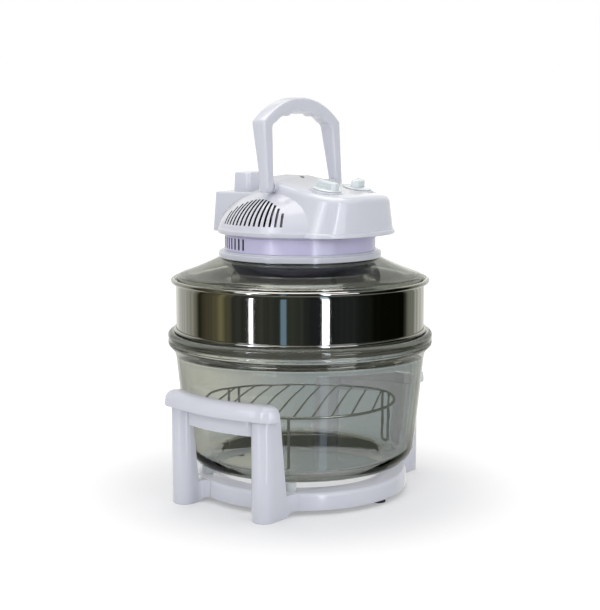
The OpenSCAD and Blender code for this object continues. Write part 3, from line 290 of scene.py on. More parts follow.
# %% Sorting rays
def sorted_rays(tree):
    """Sorts rays: straight from the camera, mirrored by something, and seen through glass."""
    path = add(tree, "ShaderNodeLightPath").outputs
    clear = add(tree, "ShaderNodeMath", {
        0: path["Is Camera Ray"], 1: path["Is Transmission Ray"]}, operation="MAXIMUM")
    bounced = add(tree, "ShaderNodeMath", {
        0: path["Diffuse Depth"], 1: path["Glossy Depth"]}, operation="ADD")
    fresh = add(tree, "ShaderNodeMath", {0: bounced.outputs[0], 1: 0.5}, operation="LESS_THAN")
    straight = add(tree, "ShaderNodeMath", {
        0: clear.outputs[0], 1: fresh.outputs[0]}, operation="MULTIPLY")
    mirrored, through = [add(tree, "ShaderNodeMath", {0: path[depth], 1: 0.5},
                             operation="GREATER_THAN")
                         for depth in ("Glossy Depth", "Transmission Depth")]
    return straight.outputs[0], mirrored.outputs[0], through.outputs[0]


def behind_glass(tree, aim, right):
    """The room's wall behind glass: a pale warm grey at the left and a cooler one at the right."""
    across = add(tree, "ShaderNodeVectorMath", {0: aim, 1: right}, operation="DOT_PRODUCT")
    side = add(tree, "ShaderNodeMapRange", {
        "Value": across.outputs["Value"], "From Min": -0.10, "From Max": 0.0})
    wall = add(tree, "ShaderNodeMix", {
        "Factor": side.outputs["Result"], "A": (0.76, 0.76, 0.70, 1), "B": (0.44, 0.49, 0.52, 1)},
        data_type="RGBA")
    return wall.outputs["Result"]


# %% World
world = bpy.data.worlds.new("studio")
bpy.context.scene.world = world
world.use_nodes = True
tree = world.node_tree
tree.nodes.clear()
straight, mirrored, through = sorted_rays(tree)
surround = add(tree, "ShaderNodeMix", {
    "Factor": mirrored, "A": (0.55, 0.56, 0.59, 1), "B": (0.24, 0.25, 0.22, 1)}, data_type="RGBA")
wall = behind_glass(tree, add(tree, "ShaderNodeTexCoord").outputs["Generated"], CAMERA_RIGHT)
backdrop = add(tree, "ShaderNodeMix", {
    "Factor": through, "A": (1, 1, 1, 1), "B": wall}, data_type="RGBA")
tint = add(tree, "ShaderNodeMix", {
    "Factor": straight, "A": surround.outputs["Result"], "B": backdrop.outputs["Result"]},
    data_type="RGBA")
sky = add(tree, "ShaderNodeBackground", {"Color": tint.outputs["Result"], "Strength": 1.0})
add(tree, "ShaderNodeOutputWorld", {"Surface": sky.outputs[0]})
print("world:", world.name, "with", len(tree.nodes), "nodes")

# %% [markdown]
# The floor is white paper near the object, so that the feet cast a shadow on it. Further out it
# turns to the world's plain white, so that no horizon shows. Behind glass it is the grey wall,
# mostly glowing, so that the bowl's shadow doesn't darken it.


# %% Floor
def plane(name, width, depth, material, place):
    """A stage sheet of the given size in metres."""
    bm = bmesh.new()
    bmesh.ops.create_grid(bm, x_segments=1, y_segments=1, size=0.5)
    bmesh.ops.scale(bm, vec=(width, depth, 1), verts=bm.verts)
    bmesh.ops.transform(bm, matrix=place, verts=bm.verts)
    made = into_scene(name, as_mesh(bm, name))
    made.data.materials.append(material)
    return made


floor_paint, tree, place = finish("floor_white_paper")
straight, mirrored, through = sorted_rays(tree)
away = add(tree, "ShaderNodeVectorMath", {0: place}, operation="LENGTH")
fade = add(tree, "ShaderNodeMapRange", {
    "Value": away.outputs["Value"], "From Min": 0.15, "From Max": 0.42, "To Min": 0.25,
    "To Max": 1.0}, interpolation_type="SMOOTHSTEP")
share = add(tree, "ShaderNodeMath", {0: straight, 1: fade.outputs[0]}, operation="MULTIPLY")
paper = add(tree, "ShaderNodeBsdfDiffuse", {"Color": (0.86, 0.86, 0.86, 1)})
white = add(tree, "ShaderNodeEmission", {"Color": (1, 1, 1, 1), "Strength": 1.12})
plain = add(tree, "ShaderNodeMixShader", {
    0: share.outputs[0], 1: paper.outputs[0], 2: white.outputs[0]})
back_to_camera = add(tree, "ShaderNodeNewGeometry").outputs["Incoming"]
wall = behind_glass(tree, back_to_camera, [-v for v in CAMERA_RIGHT])
shaded = add(tree, "ShaderNodeBsdfDiffuse", {"Color": wall})
even = add(tree, "ShaderNodeEmission", {"Color": wall, "Strength": 0.9})
grey = add(tree, "ShaderNodeMixShader", {0: 0.7, 1: shaded.outputs[0], 2: even.outputs[0]})
seen = add(tree, "ShaderNodeMixShader", {0: through, 1: plain.outputs[0], 2: grey.outputs[0]})
dim = add(tree, "ShaderNodeEmission", {"Color": (0.20, 0.21, 0.19, 1), "Strength": 1.0})
close(tree, add(tree, "ShaderNodeMixShader", {
    0: mirrored, 1: seen.outputs[0], 2: dim.outputs[0]}))
floor = plane("floor", 40, 40, floor_paint, Matrix.Identity(4))
floor.visible_glossy = False
print("floor:", floor.name)

# %% [markdown]
# Polished steel shows whatever stands round it. In the photograph that is a dim room: pale walls
# behind the oven, brown and olive ones at its left, and hardly any light at its right. So a wide
# drum stands round the oven, seen only in reflections. A radial gradient gives each point its
# angle, a colour ramp gives each angle the tone of the wall that stands there, and noise drawn
# out upwards adds shelves and curtains.


# %% Room walls
def only_reflected(thing):
    """The object shows in glossy reflections, and nowhere else."""
    for kind in ("camera", "diffuse", "transmission", "volume_scatter", "shadow"):
        setattr(thing, "visible_" + kind, False)


# Degrees round from the camera's side, and the wall's tone there.
walls = ((-180, "#B0B1AC"), (-140, "#9C9D98"), (-113, "#74746A"), (-103, "#201F14"),
         (-88, "#403D30"), (-75, "#56533C"), (-60, "#282A26"), (-8, "#2F322B"), (12, "#16181A"),
         (46, "#1C1F1E"), (70, "#080905"), (107, "#040502"), (119, "#66685E"), (150, "#A4A5A0"))
room_paint, tree, place = finish("room_walls")
facing = add(tree, "ShaderNodeMapping", {
    "Vector": place, "Rotation": (0, 0, math.radians(-CAMERA_SIDE))})
around = add(tree, "ShaderNodeTexGradient", {"Vector": facing.outputs[0]}, gradient_type="RADIAL")
ramp = add(tree, "ShaderNodeValToRGB", {"Fac": around.outputs["Fac"]})
stops = ramp.color_ramp.elements
for end in (0, 1):
    stops[end].position, stops[end].color = end, srgb(walls[0][1])
for angle, tone in walls[1:]:
    stops.new(0.5 + angle / 360).color = srgb(tone)
drawn_out = add(tree, "ShaderNodeMapping", {"Vector": place, "Scale": (1, 1, 0.04)})
things = add(tree, "ShaderNodeTexNoise", {
    "Vector": drawn_out.outputs[0], "Scale": 2.6, "Detail": 4.0})
spread = add(tree, "ShaderNodeMapRange", {
    "Value": things.outputs["Fac"], "From Min": 0.3, "From Max": 0.7, "To Min": 1.3, "To Max": 2.9})
close(tree, add(tree, "ShaderNodeEmission", {
    "Color": ramp.outputs["Color"], "Strength": spread.outputs["Result"]}))

bm = bmesh.new()
bmesh.ops.create_cone(bm, cap_ends=False, segments=96, radius1=4.2, radius2=4.2, depth=7)
room = into_scene("room", as_mesh(bm, "room"))
room.data.materials.append(room_paint)
only_reflected(room)
print("room:", room.name, "with", len(stops), "stops")

# %% [markdown]
# Two white windows and a pale blue one stand in front of the walls, as upright bright sheets that
# go down past the floor, since reflections don't see it. The upright steel shows their middle.
# The bowl's wall leans, so it shows what is lower down: there the bright sheets have ended, and
# one dim sheet goes on, for the faint stripe on the glass.

# %% Windows
WINDOW_RADIUS = 3.8


def upright(angle, height):
    """A place on a circle round the object, facing its middle. Angle 0 is the camera's side."""
    side = math.radians(angle + CAMERA_SIDE)
    foot = Vector((WINDOW_RADIUS * math.cos(side), WINDOW_RADIUS * math.sin(side), height))
    inwards = -foot.xy.to_3d()
    return Matrix.Translation(foot) @ inwards.to_track_quat("Z", "Y").to_matrix().to_4x4()


def glowing(name, colour, strength):
    """A sheet that shines evenly."""
    made, tree, _ = finish(name)
    close(tree, add(tree, "ShaderNodeEmission", {"Color": srgb(colour), "Strength": strength}))
    return made


cloth = glowing("window_white", "#F4F6FF", 8.0)
blue = glowing("window_blue", "#8FB0C4", 0.85)
for angle, width, paint in ((-44, 0.21, cloth), (22.5, 0.38, cloth), (-14.5, 0.34, blue)):
    only_reflected(plane(f"window_{round(angle)}", width, 5, paint, upright(angle, 1.6)))
dusk = glowing("window_dim", "#A9C0D2", 2.2)
only_reflected(plane("window_low", 0.5, 1.6, dusk, upright(22.5, -1.7)))

# %% [markdown]
# Three weak soft lamps shape the white plastic: a large warm one overhead, and cool ones at the
# left and in front. They can be weak because the world's grey already fills the shadows.


# %% Soft lamps
def softbox(name, place, aim, size, power, colour):
    """A square area lamp in metres and watts, turned towards a point."""
    lamp = bpy.data.lights.new(name, "AREA")
    lamp.size, lamp.energy, lamp.color = size, power, colour
    made = into_scene(name, lamp)
    made.location = place
    made.rotation_euler = (Vector(aim) - Vector(place)).to_track_quat("-Z", "Y").to_euler()


softbox("lamp_overhead", (0.2, 0.3, 2.2), (0, 0, 0.2), 1.6, 22, (1.0, 0.97, 0.90))
softbox("lamp_left", (-2.2, 0.2, 1.2), (0, 0, 0.25), 1.2, 10, (0.93, 0.95, 1.0))
softbox("lamp_front", (-0.6, -2.4, 1.0), (0, 0, 0.25), 1.2, 9.5, (0.93, 0.95, 1.0))

# %% [markdown]
# ## Modelling tools
# Most of this oven is round, so most pieces are a half section spun about the oven's axis. A
# section is a loop of corners on a drawing, and a bevel afterwards rounds the ones that the tool
# left sharp. The last helper hands a finished mesh to its CAD body.


# %% Spin, bevel and hand over
def outline(bm, points, closed=True):
    """Adds points in mm, joined one to the next by edges, and returns the edges."""
    verts = [bm.verts.new(mm(*p)) for p in points]
    return [bm.edges.new(pair) for pair in zip(verts, verts[1:] + (verts[:1] if closed else []))]


def spin_once(bm, parts, steps):
    """Spins parts once round the Z axis, closes the seam and any pole, and faces it outwards."""
    bmesh.ops.spin(bm, geom=parts, cent=(0, 0, 0), axis=(0, 0, 1), angle=math.tau, steps=steps,
                   use_merge=True)
    bmesh.ops.remove_doubles(bm, verts=bm.verts, dist=1e-6)
    bmesh.ops.recalc_face_normals(bm, faces=bm.faces)


def spun(points, closed=True, steps=144):
    """A half section, as (radius, height) in mm, spun once round the Z axis."""
    bm = bmesh.new()
    outline(bm, [(r, 0, z) for r, z in points], closed)
    spin_once(bm, bm.verts[:] + bm.edges[:], steps)
    return bm


def soften(bm, width, sharper_than=35, segments=3, only=None):
    """Bevels the edges that turn by more than the given angle. Width is in mm."""
    edges = [e for e in bm.edges if len(e.link_faces) == 2
             and e.calc_face_angle(0) > math.radians(sharper_than) and (only is None or only(e))]
    bmesh.ops.bevel(bm, geom=edges, offset=width / 1000, offset_type="OFFSET", affect="EDGES",
                    segments=segments, profile=0.5, material=-1, clamp_overlap=True)
    return bm


def hand_over(bm, name, body, materials, replaces=(), smooth_to=35):
    """Makes the piece, shades it smooth up to an angle, and lets it ride on its CAD body."""
    for face in bm.faces:
        face.smooth = True
    for edge in bm.edges:
        sharp = len(edge.link_faces) == 2 and edge.calc_face_angle(0) > math.radians(smooth_to)
        edge.smooth = not sharp
    made = into_scene(name, as_mesh(bm, name))
    for one in materials:
        made.data.materials.append(one)
    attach(made, body)
    if replaces:
        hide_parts(*replaces)
    print(name, "rides on", body, "with", len(made.data.polygons), "faces")
    return made


# %% [markdown]
# ## Bowl
# The bowl is pressed in one piece: a thick flat bottom that turns up through a round corner, a
# wall that widens slightly, and a heavy rolled rim with two fine grooves, on which the ring rests.
# A section spun round the axis gives all of it, and the section is an open line from pole to pole
# so that the middle closes to a point. Clear glass lets the light in, but a ray tracer treats it
# as a wall to lamps and to scattered light, so the bowl and the lid cast no shadow and stop no
# scattered light here.

# %% Glass bowl
section = [(0, 39.2), (98, 39.2), (101, 38.4), (104, 38)]
section += arc(122, 60, 24.3, 22, -90, 0, 10)
section += [(149.2, 89), (152.2, 118), (155.1, 147), (157.4, 170), (158.4, 176), (160.6, 181.2),
            (165, 186), (167.4, 188.6)]
section += [(167.7, 190.4), (167, 191), (167.7, 191.6)]
section += [(167.6, 193.8), (166.9, 194.4), (167.5, 195)]
section += arc(163, 200, 5, 5, -45, 90, 8)[1:]
section += [(155.6, 205), (154.4, 204.2), (153.6, 202.4), (153, 176), (149.6, 140), (146.9, 112),
            (144, 82)]
section += arc(120, 63, 21.3, 17, 0, -90, 8)
section += [(60, 46), (0, 46)]
bowl = hand_over(spun(section, closed=False), "bowl", "bowl", [bowl_glass],
                 ["glass_bowl"], 50)
bowl.visible_shadow = bowl.visible_diffuse = False

# %% [markdown]
# ## Extender ring
# The ring is a strip of bright steel, rolled round and welded, with a bead rolled outwards at the
# top, a smaller one at the bottom that sits on the bowl's rim, and a skirt that drops inside the
# bowl. A shelf inside carries the lid. The beads are rings of their own, with a wire in the roll.
# The wall has a few more points than its straight line needs: smooth shading blends the angle
# from one point to the next, and near points keep the beads from bending the mirror.


# %% Steel ring and its beads
def ring_wire(bm, radius, height, wire):
    """Adds a ring of round wire to the mesh, lying flat. All in mm."""
    loop = bmesh.ops.create_circle(bm, segments=12, radius=wire / 1000,
                                   matrix=at(radius, 0, height) @ turn(90, "X"))["verts"]
    edges = list(dict.fromkeys(e for v in loop for e in v.link_edges))
    spin_once(bm, loop + edges, 144)


section = [(150.5, 190), (151.3, 190), (151.3, 204.2), (152.4, 205.3), (156, 205.3), (156.4, 206.1)]
section += [(157.2, z) for z in (208, 210, 235, 260, 262)]
section += [(157.4, 266.4), (158.6, 268.6), (160.2, 268.6), (160.2, 269.4), (157.8, 269.4),
            (156.6, 267.6), (156.4, 266.3)]
section += [(151.4, 266.3), (151.4, 265.5), (156.4, 265.5), (156.4, 206.9), (152, 206.1),
            (150.5, 204.6)]
bm = spun(section)
ring_wire(bm, 160.7, 269, 3)
ring_wire(bm, 158.8, 207.5, 2)
hand_over(bm, "steel_ring", "extender", [steel_mirror], ["extender_ring"], 40)

# %% [markdown]
# ## Lid glass
# The lid is a shallow cone of tempered glass whose slope eases towards the edge, where it turns
# down into a short foot. The curve comes from one formula, used again for the flange ring, the
# clamp ring and the heater pan that follow the glass.


# %% Lid glass
def glass_top(r):
    """Height of the lid glass's upper face at radius r, both in mm."""
    return 297.6 - 0.51 * (r - 102.5) + 0.001779 * (r - 102.5) ** 2


GLASS_THICK = 4.5
outer = [(r, glass_top(r)) for r in (153.2, 148, 140, 131, 122, 113, 104, 96, 88)]
inner = [(r, h - GLASS_THICK) for r, h in reversed(outer[1:])]
section = [(151.3, 266.6), (154.6, 266.6), (155.4, 267.6), (155.4, 273.6), (154.8, 275.2)]
section += outer + inner + [(150.9, 270)]
lid = hand_over(spun(section), "lid_pane", "lid", [lid_glass], ["lid_glass"], 50)
lid.visible_shadow = lid.visible_diffuse = False

# %% [markdown]
# ## Flange, clamp and collar
# A white flange ring clamps the glass from above, on a gasket, with a bright steel clamp ring
# just below it that shows as a thin blue-grey line. The vented collar stands on the flange, and
# steps in a little at its foot and its head. Its slots are cut through at the rear only, and the
# cuts get a near-black finish that is painted shade.

# %% Flange ring and clamp ring
section = [(87, glass_top(87) + 1.1), (100.6, glass_top(100.6) + 1.1), (102.1, 298.9),
           (102.5, 300.2), (102.5, 304)]
section += arc(100.9, 304.4, 1.6, 1.6, 0, 90, 4)
section += [(99.6, 306), (99.2, 306.4), (99, 307.2), (98.4, 307.6), (92.4, 307.6), (87, 307.6)]
hand_over(spun(section), "flange", "lid", [abs_white], ["flange_ring"], 40)

section = [(88, glass_top(88) + 0.1), (101.4, glass_top(101.4) + 0.1)]
section += arc(101.0, 297.9 + 0.7, 1.1, 0.7, -60, 60, 4)
section += [(100.2, glass_top(100.2) + 1.05), (88, glass_top(88) + 1.05)]
hand_over(spun(section), "clamp_ring", "lid", [steel_pan], (), 40)


# %% Boolean, joining and box helpers
def carve(target, cutter, operation="DIFFERENCE"):
    """Cuts or joins two meshes exactly, and returns the first with the result."""
    pair = [into_scene(name, as_mesh(bm, name))
            for name, bm in (("carve_a", target), ("carve_b", cutter))]
    cut = pair[0].modifiers.new("carve", "BOOLEAN")
    cut.operation, cut.solver, cut.object = operation, "EXACT", pair[1]
    result = bmesh.new()
    result.from_object(pair[0], bpy.context.evaluated_depsgraph_get())
    for one in pair:
        mesh = one.data
        bpy.data.objects.remove(one)
        bpy.data.meshes.remove(mesh)
    return result


def take_in(bm, other):
    """Adds the faces of another bmesh as they are. The other is freed."""
    mesh = as_mesh(other, "taken_in")
    bm.from_mesh(mesh)
    bpy.data.meshes.remove(mesh)


def block(bm, size, place, material=0):
    """Adds a box of the given size in mm, placed by a matrix. Material is a slot's number."""
    made = bmesh.ops.create_cube(bm, size=1.0)["verts"]
    bmesh.ops.scale(bm, vec=mm(*size), verts=made)
    bmesh.ops.transform(bm, matrix=place, verts=made)
    for face in {f for v in made for f in v.link_faces}:
        face.material_index = material


# %% Vented collar
section = [(92.4, 307.7), (95.6, 307.7), (95.6, 309.2), (95.2, 309.8), (95.2, 326), (94.6, 326.6),
           (94.6, 328.7), (92.4, 328.7)]
# The slots' cut faces take the near-black finish: painted shade.
slots = bmesh.new()
for i in range(33):
    block(slots, (8, 3, 14), turn(90 + (i - 16) * 5.1) @ at(94, 0, 317.7), 1)
bm = carve(spun(section), slots)
take_in(bm, spun([(72.4, 325.9), (92.6, 325.9), (92.6, 328.5), (72.4, 328.5)], steps=96))
hand_over(bm, "collar", "lid", [abs_lilac, painted_shade_black], ["vent_collar"], 35)

# %% [markdown]
# ## Top housing
# The housing is one white moulding with four forms that run into each other: a low dome with the
# side vents, a console that leans towards the user, a rear block and a small tower. Each form is
# made by itself and then joined to the next by an exact boolean, as clay would be, and the crease
# where the console meets the dome stays crisp, as it does on the moulding.
#
# The console is a loft. Its outline is a superellipse in front, between an ellipse and a
# rectangle, and a plain taper behind. Each ring of points repeats that outline, smaller and
# higher than the last, and bridge_loops skins one ring to the next.


# %% Console outline and skin
def console_ring(inset, half_width, widest_y, front_y, square, rear_half, rear_y=28, corner=12):
    """The console's outline as (x, y), from the front round both sides. Sizes in mm."""
    half_width, rear_half = half_width - inset, rear_half - inset
    front_y, rear_y, corner = front_y + inset, rear_y - inset, max(corner - inset, 2)
    right = []
    for i in range(25):
        t = math.radians(90 * i / 24)
        right.append((half_width * math.sin(t) ** (2 / square),
                      widest_y - (widest_y - front_y) * math.cos(t) ** (2 / square)))
    side_y = rear_y - corner
    for i in range(1, 6):
        right.append((half_width + (rear_half - half_width) * i / 6,
                      widest_y + (side_y - widest_y) * i / 6))
    right += arc(rear_half - corner, side_y, corner, corner, 0, 90, 6)
    return right + [(0, rear_y)] + [(-x, y) for x, y in reversed(right[1:])]


CONSOLE_LEAN = 10.3  # degrees


def console_top(x, y):
    """Height of the console's crowned, leaning top in mm."""
    return 396.8 + math.tan(math.radians(CONSOLE_LEAN)) * y - 0.0012 * x * x


def low_ring(height, inset):
    """The console's outline near its foot, at one height."""
    return [(x, y, height) for x, y in console_ring(inset, 79, -67, -118, 2.3, 62)]


def high_ring(drop, inset):
    """The console's outline near its brim, at a drop below the leaning top."""
    return [(x, y, console_top(x, y) - drop)
            for x, y in console_ring(inset, 63, -60, -112, 3.2, 54)]


def between(low, high, share):
    """A ring part of the way from one to another."""
    return [tuple(a + (b - a) * share for a, b in zip(p, q)) for p, q in zip(low, high)]


def skinned(rings, poke=True):
    """Bridges rings of points from the lowest up, and closes both ends with a face."""
    bm = bmesh.new()
    loops = [outline(bm, ring) for ring in rings]
    for low, high in zip(loops, loops[1:]):
        bmesh.ops.bridge_loops(bm, edges=low + high)
    ends = [bmesh.ops.contextual_create(bm, geom=loop)["faces"] for loop in (loops[0], loops[-1])]
    if poke:
        bmesh.ops.poke(bm, faces=ends[1])
    bmesh.ops.recalc_face_normals(bm, faces=bm.faces)
    return bm


# %% [markdown]
# Near its foot the console has a fine step: a lip that stands out a little, and a wall drawn in
# above it. Its brim is a quarter round, 8 mm across and 7.5 mm deep, and the top closes over in
# four smaller rings, so that its crown is smooth.

# %% Console
HOUSING_FOOT = 328.8
BRIM_DROP, BRIM_ROUND = 7.5, 8
MIDDLE_Y = -30

foot, brim = low_ring(HOUSING_FOOT, 0), high_ring(BRIM_DROP, 0)
lip = [(x * 1.003, y * 1.002, z) for x, y, z in between(foot, brim, 0.10)]
waist = [(x * 0.986, y * 0.987, z) for x, y, z in between(foot, brim, 0.15)]
rings = [low_ring(HOUSING_FOOT, 1.2), low_ring(329.2, 0.35), low_ring(330, 0)]
rings += [lip, between(foot, brim, 0.122), waist]
rings += [between(waist, brim, 0.06), between(waist, brim, 0.5), brim]
for t in map(math.radians, range(15, 91, 15)):
    rings.append(high_ring(BRIM_DROP * (1 - math.sin(t)), BRIM_ROUND * (1 - math.cos(t))))
for k in (0.8, 0.6, 0.4, 0.2):
    rings.append([(x * k, MIDDLE_Y + (y - MIDDLE_Y) * k,
                   console_top(x * k, MIDDLE_Y + (y - MIDDLE_Y) * k))
                  for x, y, _ in high_ring(0, BRIM_ROUND)])
console = skinned(rings)
print("console:", len(console.verts), "points in", len(rings), "rings")

# %% [markdown]
# The dome is a quarter of an ellipse spun round. The rear block and the tower are boxes with
# draft, which is the taper that lets a moulding leave its mould. A short round boss sticks out at
# each side for the bail to turn on.


# %% Dome, block, tower and boss
def drafted(width, depth, middle_y, low, high, draft, corner, edge):
    """A box with rounded upright edges that narrows upwards, with a soft top edge, in mm."""
    rings = []
    steps = ((0, 0), (edge * 0.13, edge * 0.5), (edge * 0.5, edge * 0.87), (edge, edge))
    for height, inset in [(low, 0)] + [(high - edge + h, draft + w) for w, h in steps]:
        w, d = width / 2 - inset, depth / 2 - inset
        ring = []
        for sx, sy, start in ((1, 1, 0), (-1, 1, 90), (-1, -1, 180), (1, -1, 270)):
            ring += arc(sx * (w - corner), sy * (d - corner), corner, corner, start, start + 90, 6)
        rings.append([(x, y + middle_y, height) for x, y in ring])
    return skinned(rings)


def rod(bm, radius, length, segments, place, tip=None):
    """Adds a capped round rod about the Z axis, placed by a matrix. Sizes in mm."""
    bmesh.ops.create_cone(bm, cap_ends=True, segments=segments, radius1=radius / 1000,
                          radius2=(radius if tip is None else tip) / 1000, depth=length / 1000,
                          matrix=place)


section = [(0, HOUSING_FOOT), (102.6, HOUSING_FOOT), (103.6, 329.2), (104, 330.2), (104, 333.8),
           (103.2, 335)]
section += arc(0, HOUSING_FOOT, 103.6, 62, 8, 90, 20)[:-1] + [(0, 390.8)]
housing = carve(spun(section, closed=False), console, "UNION")
rear_block = drafted(104, 94, 57, low=HOUSING_FOOT, high=378.8, draft=2.5, corner=7, edge=2.5)
tower = drafted(50, 29, 77.5, low=372, high=402.8, draft=1, corner=6, edge=2.0)
boss = bmesh.new()
rod(boss, 6.5, 123.6, 48, at(0, -4, 387.37) @ turn(90, "Y"))
for form in (rear_block, tower, boss):
    housing = carve(housing, form, "UNION")
print("housing joined:", len(housing.faces), "faces")

# %% [markdown]
# The vents are upright slots cut square to the wall, whose tops follow an arch. The dome is
# hollowed first, and the hollow's wall and the vents' cut faces get a near-black finish: painted
# shade for the dark inside of the housing, where a motor and its shield sit. Each knob stands on a
# round seat of its own.

# %% Hollow, vents and knob seats
KNOB_X, KNOB_Y, KNOB_Z = 31, -66, 384.853
LEAN = turn(CONSOLE_LEAN, "X")
VENT_STEP, ARCH_HALF = 4.1, 30.75  # degrees round the dome
VENT_FOOT, ARCH_RISE = 341.8, 30


def at_knob(side):
    """The place of a knob, square to the console's top. Side is 1 at the right, -1 at the left."""
    return at(KNOB_X * side, KNOB_Y, KNOB_Z) @ LEAN


# The hollow's wall takes the near-black finish: painted shade.
hollow = spun([(0, 320), (101, 320)] + arc(0, HOUSING_FOOT, 100.8, 59, 0, 90, 16),
              closed=False, steps=96)
for face in hollow.faces:
    face.material_index = 1
housing = carve(housing, hollow)
# The vents' cut faces take the near-black finish too: painted shade.
slots = bmesh.new()
for middle in (1.3, 178.7):
    for i in range(14):
        swing = (i - 6.5) * VENT_STEP
        rise = ARCH_RISE * math.sqrt(1 - (swing / ARCH_HALF) ** 2) + 1
        block(slots, (52, 3.0, rise), turn(middle + swing) @ at(90, 0, VENT_FOOT + rise / 2), 1)
housing = carve(housing, slots)
for side in (1, -1):
    seat = bmesh.new()
    rod(seat, 20.5, 7, 72, at_knob(side) @ at(0, 0, -3.9))
    housing = carve(housing, soften(seat, 0.5, 60, 2), "UNION")
print("housing hollowed and cut:", len(housing.faces), "faces")
hand_over(housing, "housing", "lid", [abs_white, painted_shade_black], ["top_housing"], 28)

# %% [markdown]
# ## Bail handle
# The bail is one thick moulding: two legs that taper to a round foot at their pivots, and a crown
# with four finger hollows below. It is lofted from rings, each a rounded rectangle that stands
# across the handle, so the edge rounding stays the same all the way round.

# %% Bail outline
PIVOT = Vector((0, -4, 387.373))
CROWN = 387.373 + 109
FOOT_R = 6.3
LEG_IN, LEG_OUT = 62.8, 76.5  # half the width between the legs, and over them
GRIP_HALF, CROWN_HALF = 51.8, 62.5  # where the grip's underside and the crown end
FINGER = 27


def finger_z(x):
    """Height of the grip's underside: a hollow per finger, falling off towards the legs."""
    phase = abs(x) / FINGER % 1
    return CROWN - 16.5 - 0.0045 * x * x - 3.4 * (2 * phase - 1) ** 2


def crown_z(x):
    """Height of the bail's outer curve, a circle of 112 mm."""
    return CROWN - 112 + math.sqrt(112**2 - x * x)


def bail_pairs():
    """Inner and outer points, as (x, z), from the right foot up, over and down the left leg."""
    right = []
    for t in (8, 25, 45, 65, 90):
        z = PIVOT.z - FOOT_R * math.cos(math.radians(t))
        right.append(((LEG_IN, z), (LEG_OUT, z)))
    for i in range(1, 7):
        z_in, z_out = [PIVOT.z + (top - PIVOT.z) * i / 6 for top in (457.4, 462)]
        right.append(((LEG_IN - 3 * i / 6, z_in), (LEG_OUT, z_out)))
    corner = arc(GRIP_HALF, finger_z(GRIP_HALF) - 8, 8, 8, 0, 82, 6)[1:]
    shoulder = [(LEG_OUT, 464.5), (76.2, 467)]
    shoulder += [(x, crown_z(x)) for x in (73.5, 70, 66.3, CROWN_HALF)]
    right += list(zip(corner, shoulder))
    count = 26
    for i in range(1, count):
        x = GRIP_HALF * (1 - i / count)
        out_x = x * CROWN_HALF / GRIP_HALF
        right.append(((x, finger_z(x)), (out_x, crown_z(out_x))))
    middle = [((0, finger_z(0)), (0, CROWN))]
    return right + middle + [((-a[0], a[1]), (-b[0], b[1])) for a, b in reversed(right)]


def bail_depth(z):
    """Front and rear of the bail at a height: round foot, straight legs that lean, level top."""
    if z < PIVOT.z:
        half = math.sqrt(max(FOOT_R**2 - (PIVOT.z - z) ** 2, 0.01))
        return PIVOT.y - half, PIVOT.y + half
    share = min((z - PIVOT.z) / 79, 1)
    return PIVOT.y - FOOT_R + 4.7 * share, PIVOT.y + FOOT_R + 13 * share


# %% Bail loft
rings = []
for (ix, iz), (ox, oz) in bail_pairs():
    a, b = Vector((ix, iz)), Vector((ox, oz))
    front, rear = bail_depth((iz + oz) / 2)
    span, deep = (b - a).length, rear - front
    r = min(3.2, deep * 0.42, span * 0.42)
    out = (b - a) / span
    ring = []
    for s, y, start in ((span - r, rear - r, 0), (r, rear - r, 90), (r, front + r, 180),
                        (span - r, front + r, 270)):
        ring += [(a + out * u, v) for u, v in arc(s, y, r, r, start, start + 90, 4)]
    rings.append([(p.x, y, p.y) for p, y in ring])
hand_over(skinned(rings), "bail", "bail", [abs_white], ["bail_handle"], 50)


# %% [markdown]
# ## Base ring and handle frames
# The base ring and the two handle frames are machined shapes that the CAD model already holds:
# straight legs, webs and a ring. What a drawing lacks is the small radius that a mould leaves on
# every edge. So a copy of each is merged, its flat faces are joined up again, and its sharp
# edges are bevelled. The legs get a wider radius where they stand on the table.


# %% Moulded copies of CAD pieces
def from_cad(name):
    """A merged copy of a CAD node, with its flat areas turned back into single faces."""
    bm = bmesh.new()
    bm.from_mesh(nodes[name].data)
    bmesh.ops.remove_doubles(bm, verts=bm.verts, dist=2e-5)
    bmesh.ops.dissolve_degenerate(bm, edges=bm.edges, dist=1e-5)
    bmesh.ops.dissolve_limit(bm, verts=bm.verts, edges=bm.edges, angle_limit=math.radians(0.6))
    return bm


def both_ends(test):
    """A test of an edge: each of its ends passes the given test of a point in metres."""
    return lambda edge: all(test(v.co) for v in edge.verts)


bm = soften(from_cad("base_ring"), 0.9, 50, 2, both_ends(lambda co: co.xy.length > 0.109))
hand_over(bm, "ring_base", "base", [abs_white], ["base_ring"], 40)
for side in ("right", "left"):
    bm = from_cad(f"{side}_handle_frame")
    soften(bm, 2.6, 50, 3, both_ends(lambda co: co.z < 0.0002))
    soften(bm, 0.7, 50, 2, both_ends(lambda co: co.z > 0.004))
    hand_over(bm, f"frame_{side}", "base", [abs_white],
              [f"{side}_handle_frame"], 40)

# %% [markdown]
# ## Grips
# Each grip lies on two legs and bows outwards. Its top rolls down to a low lip on the outer side,
# which is what gives it the broad, softly lit top in the photograph. It is lofted from outlines
# at rising heights: the outer side draws in along a quarter of an ellipse, and the inner side
# only by a small radius. Below, it is hollow, and an inset of the bottom face makes that.


# %% Grip outline
GRIP_BOW, GRIP_OUTER, GRIP_INNER = 248, 177.9, 159.9  # radius of the bow, its reach, inner radius
GRIP_END, GRIP_CORNER = 70, 18


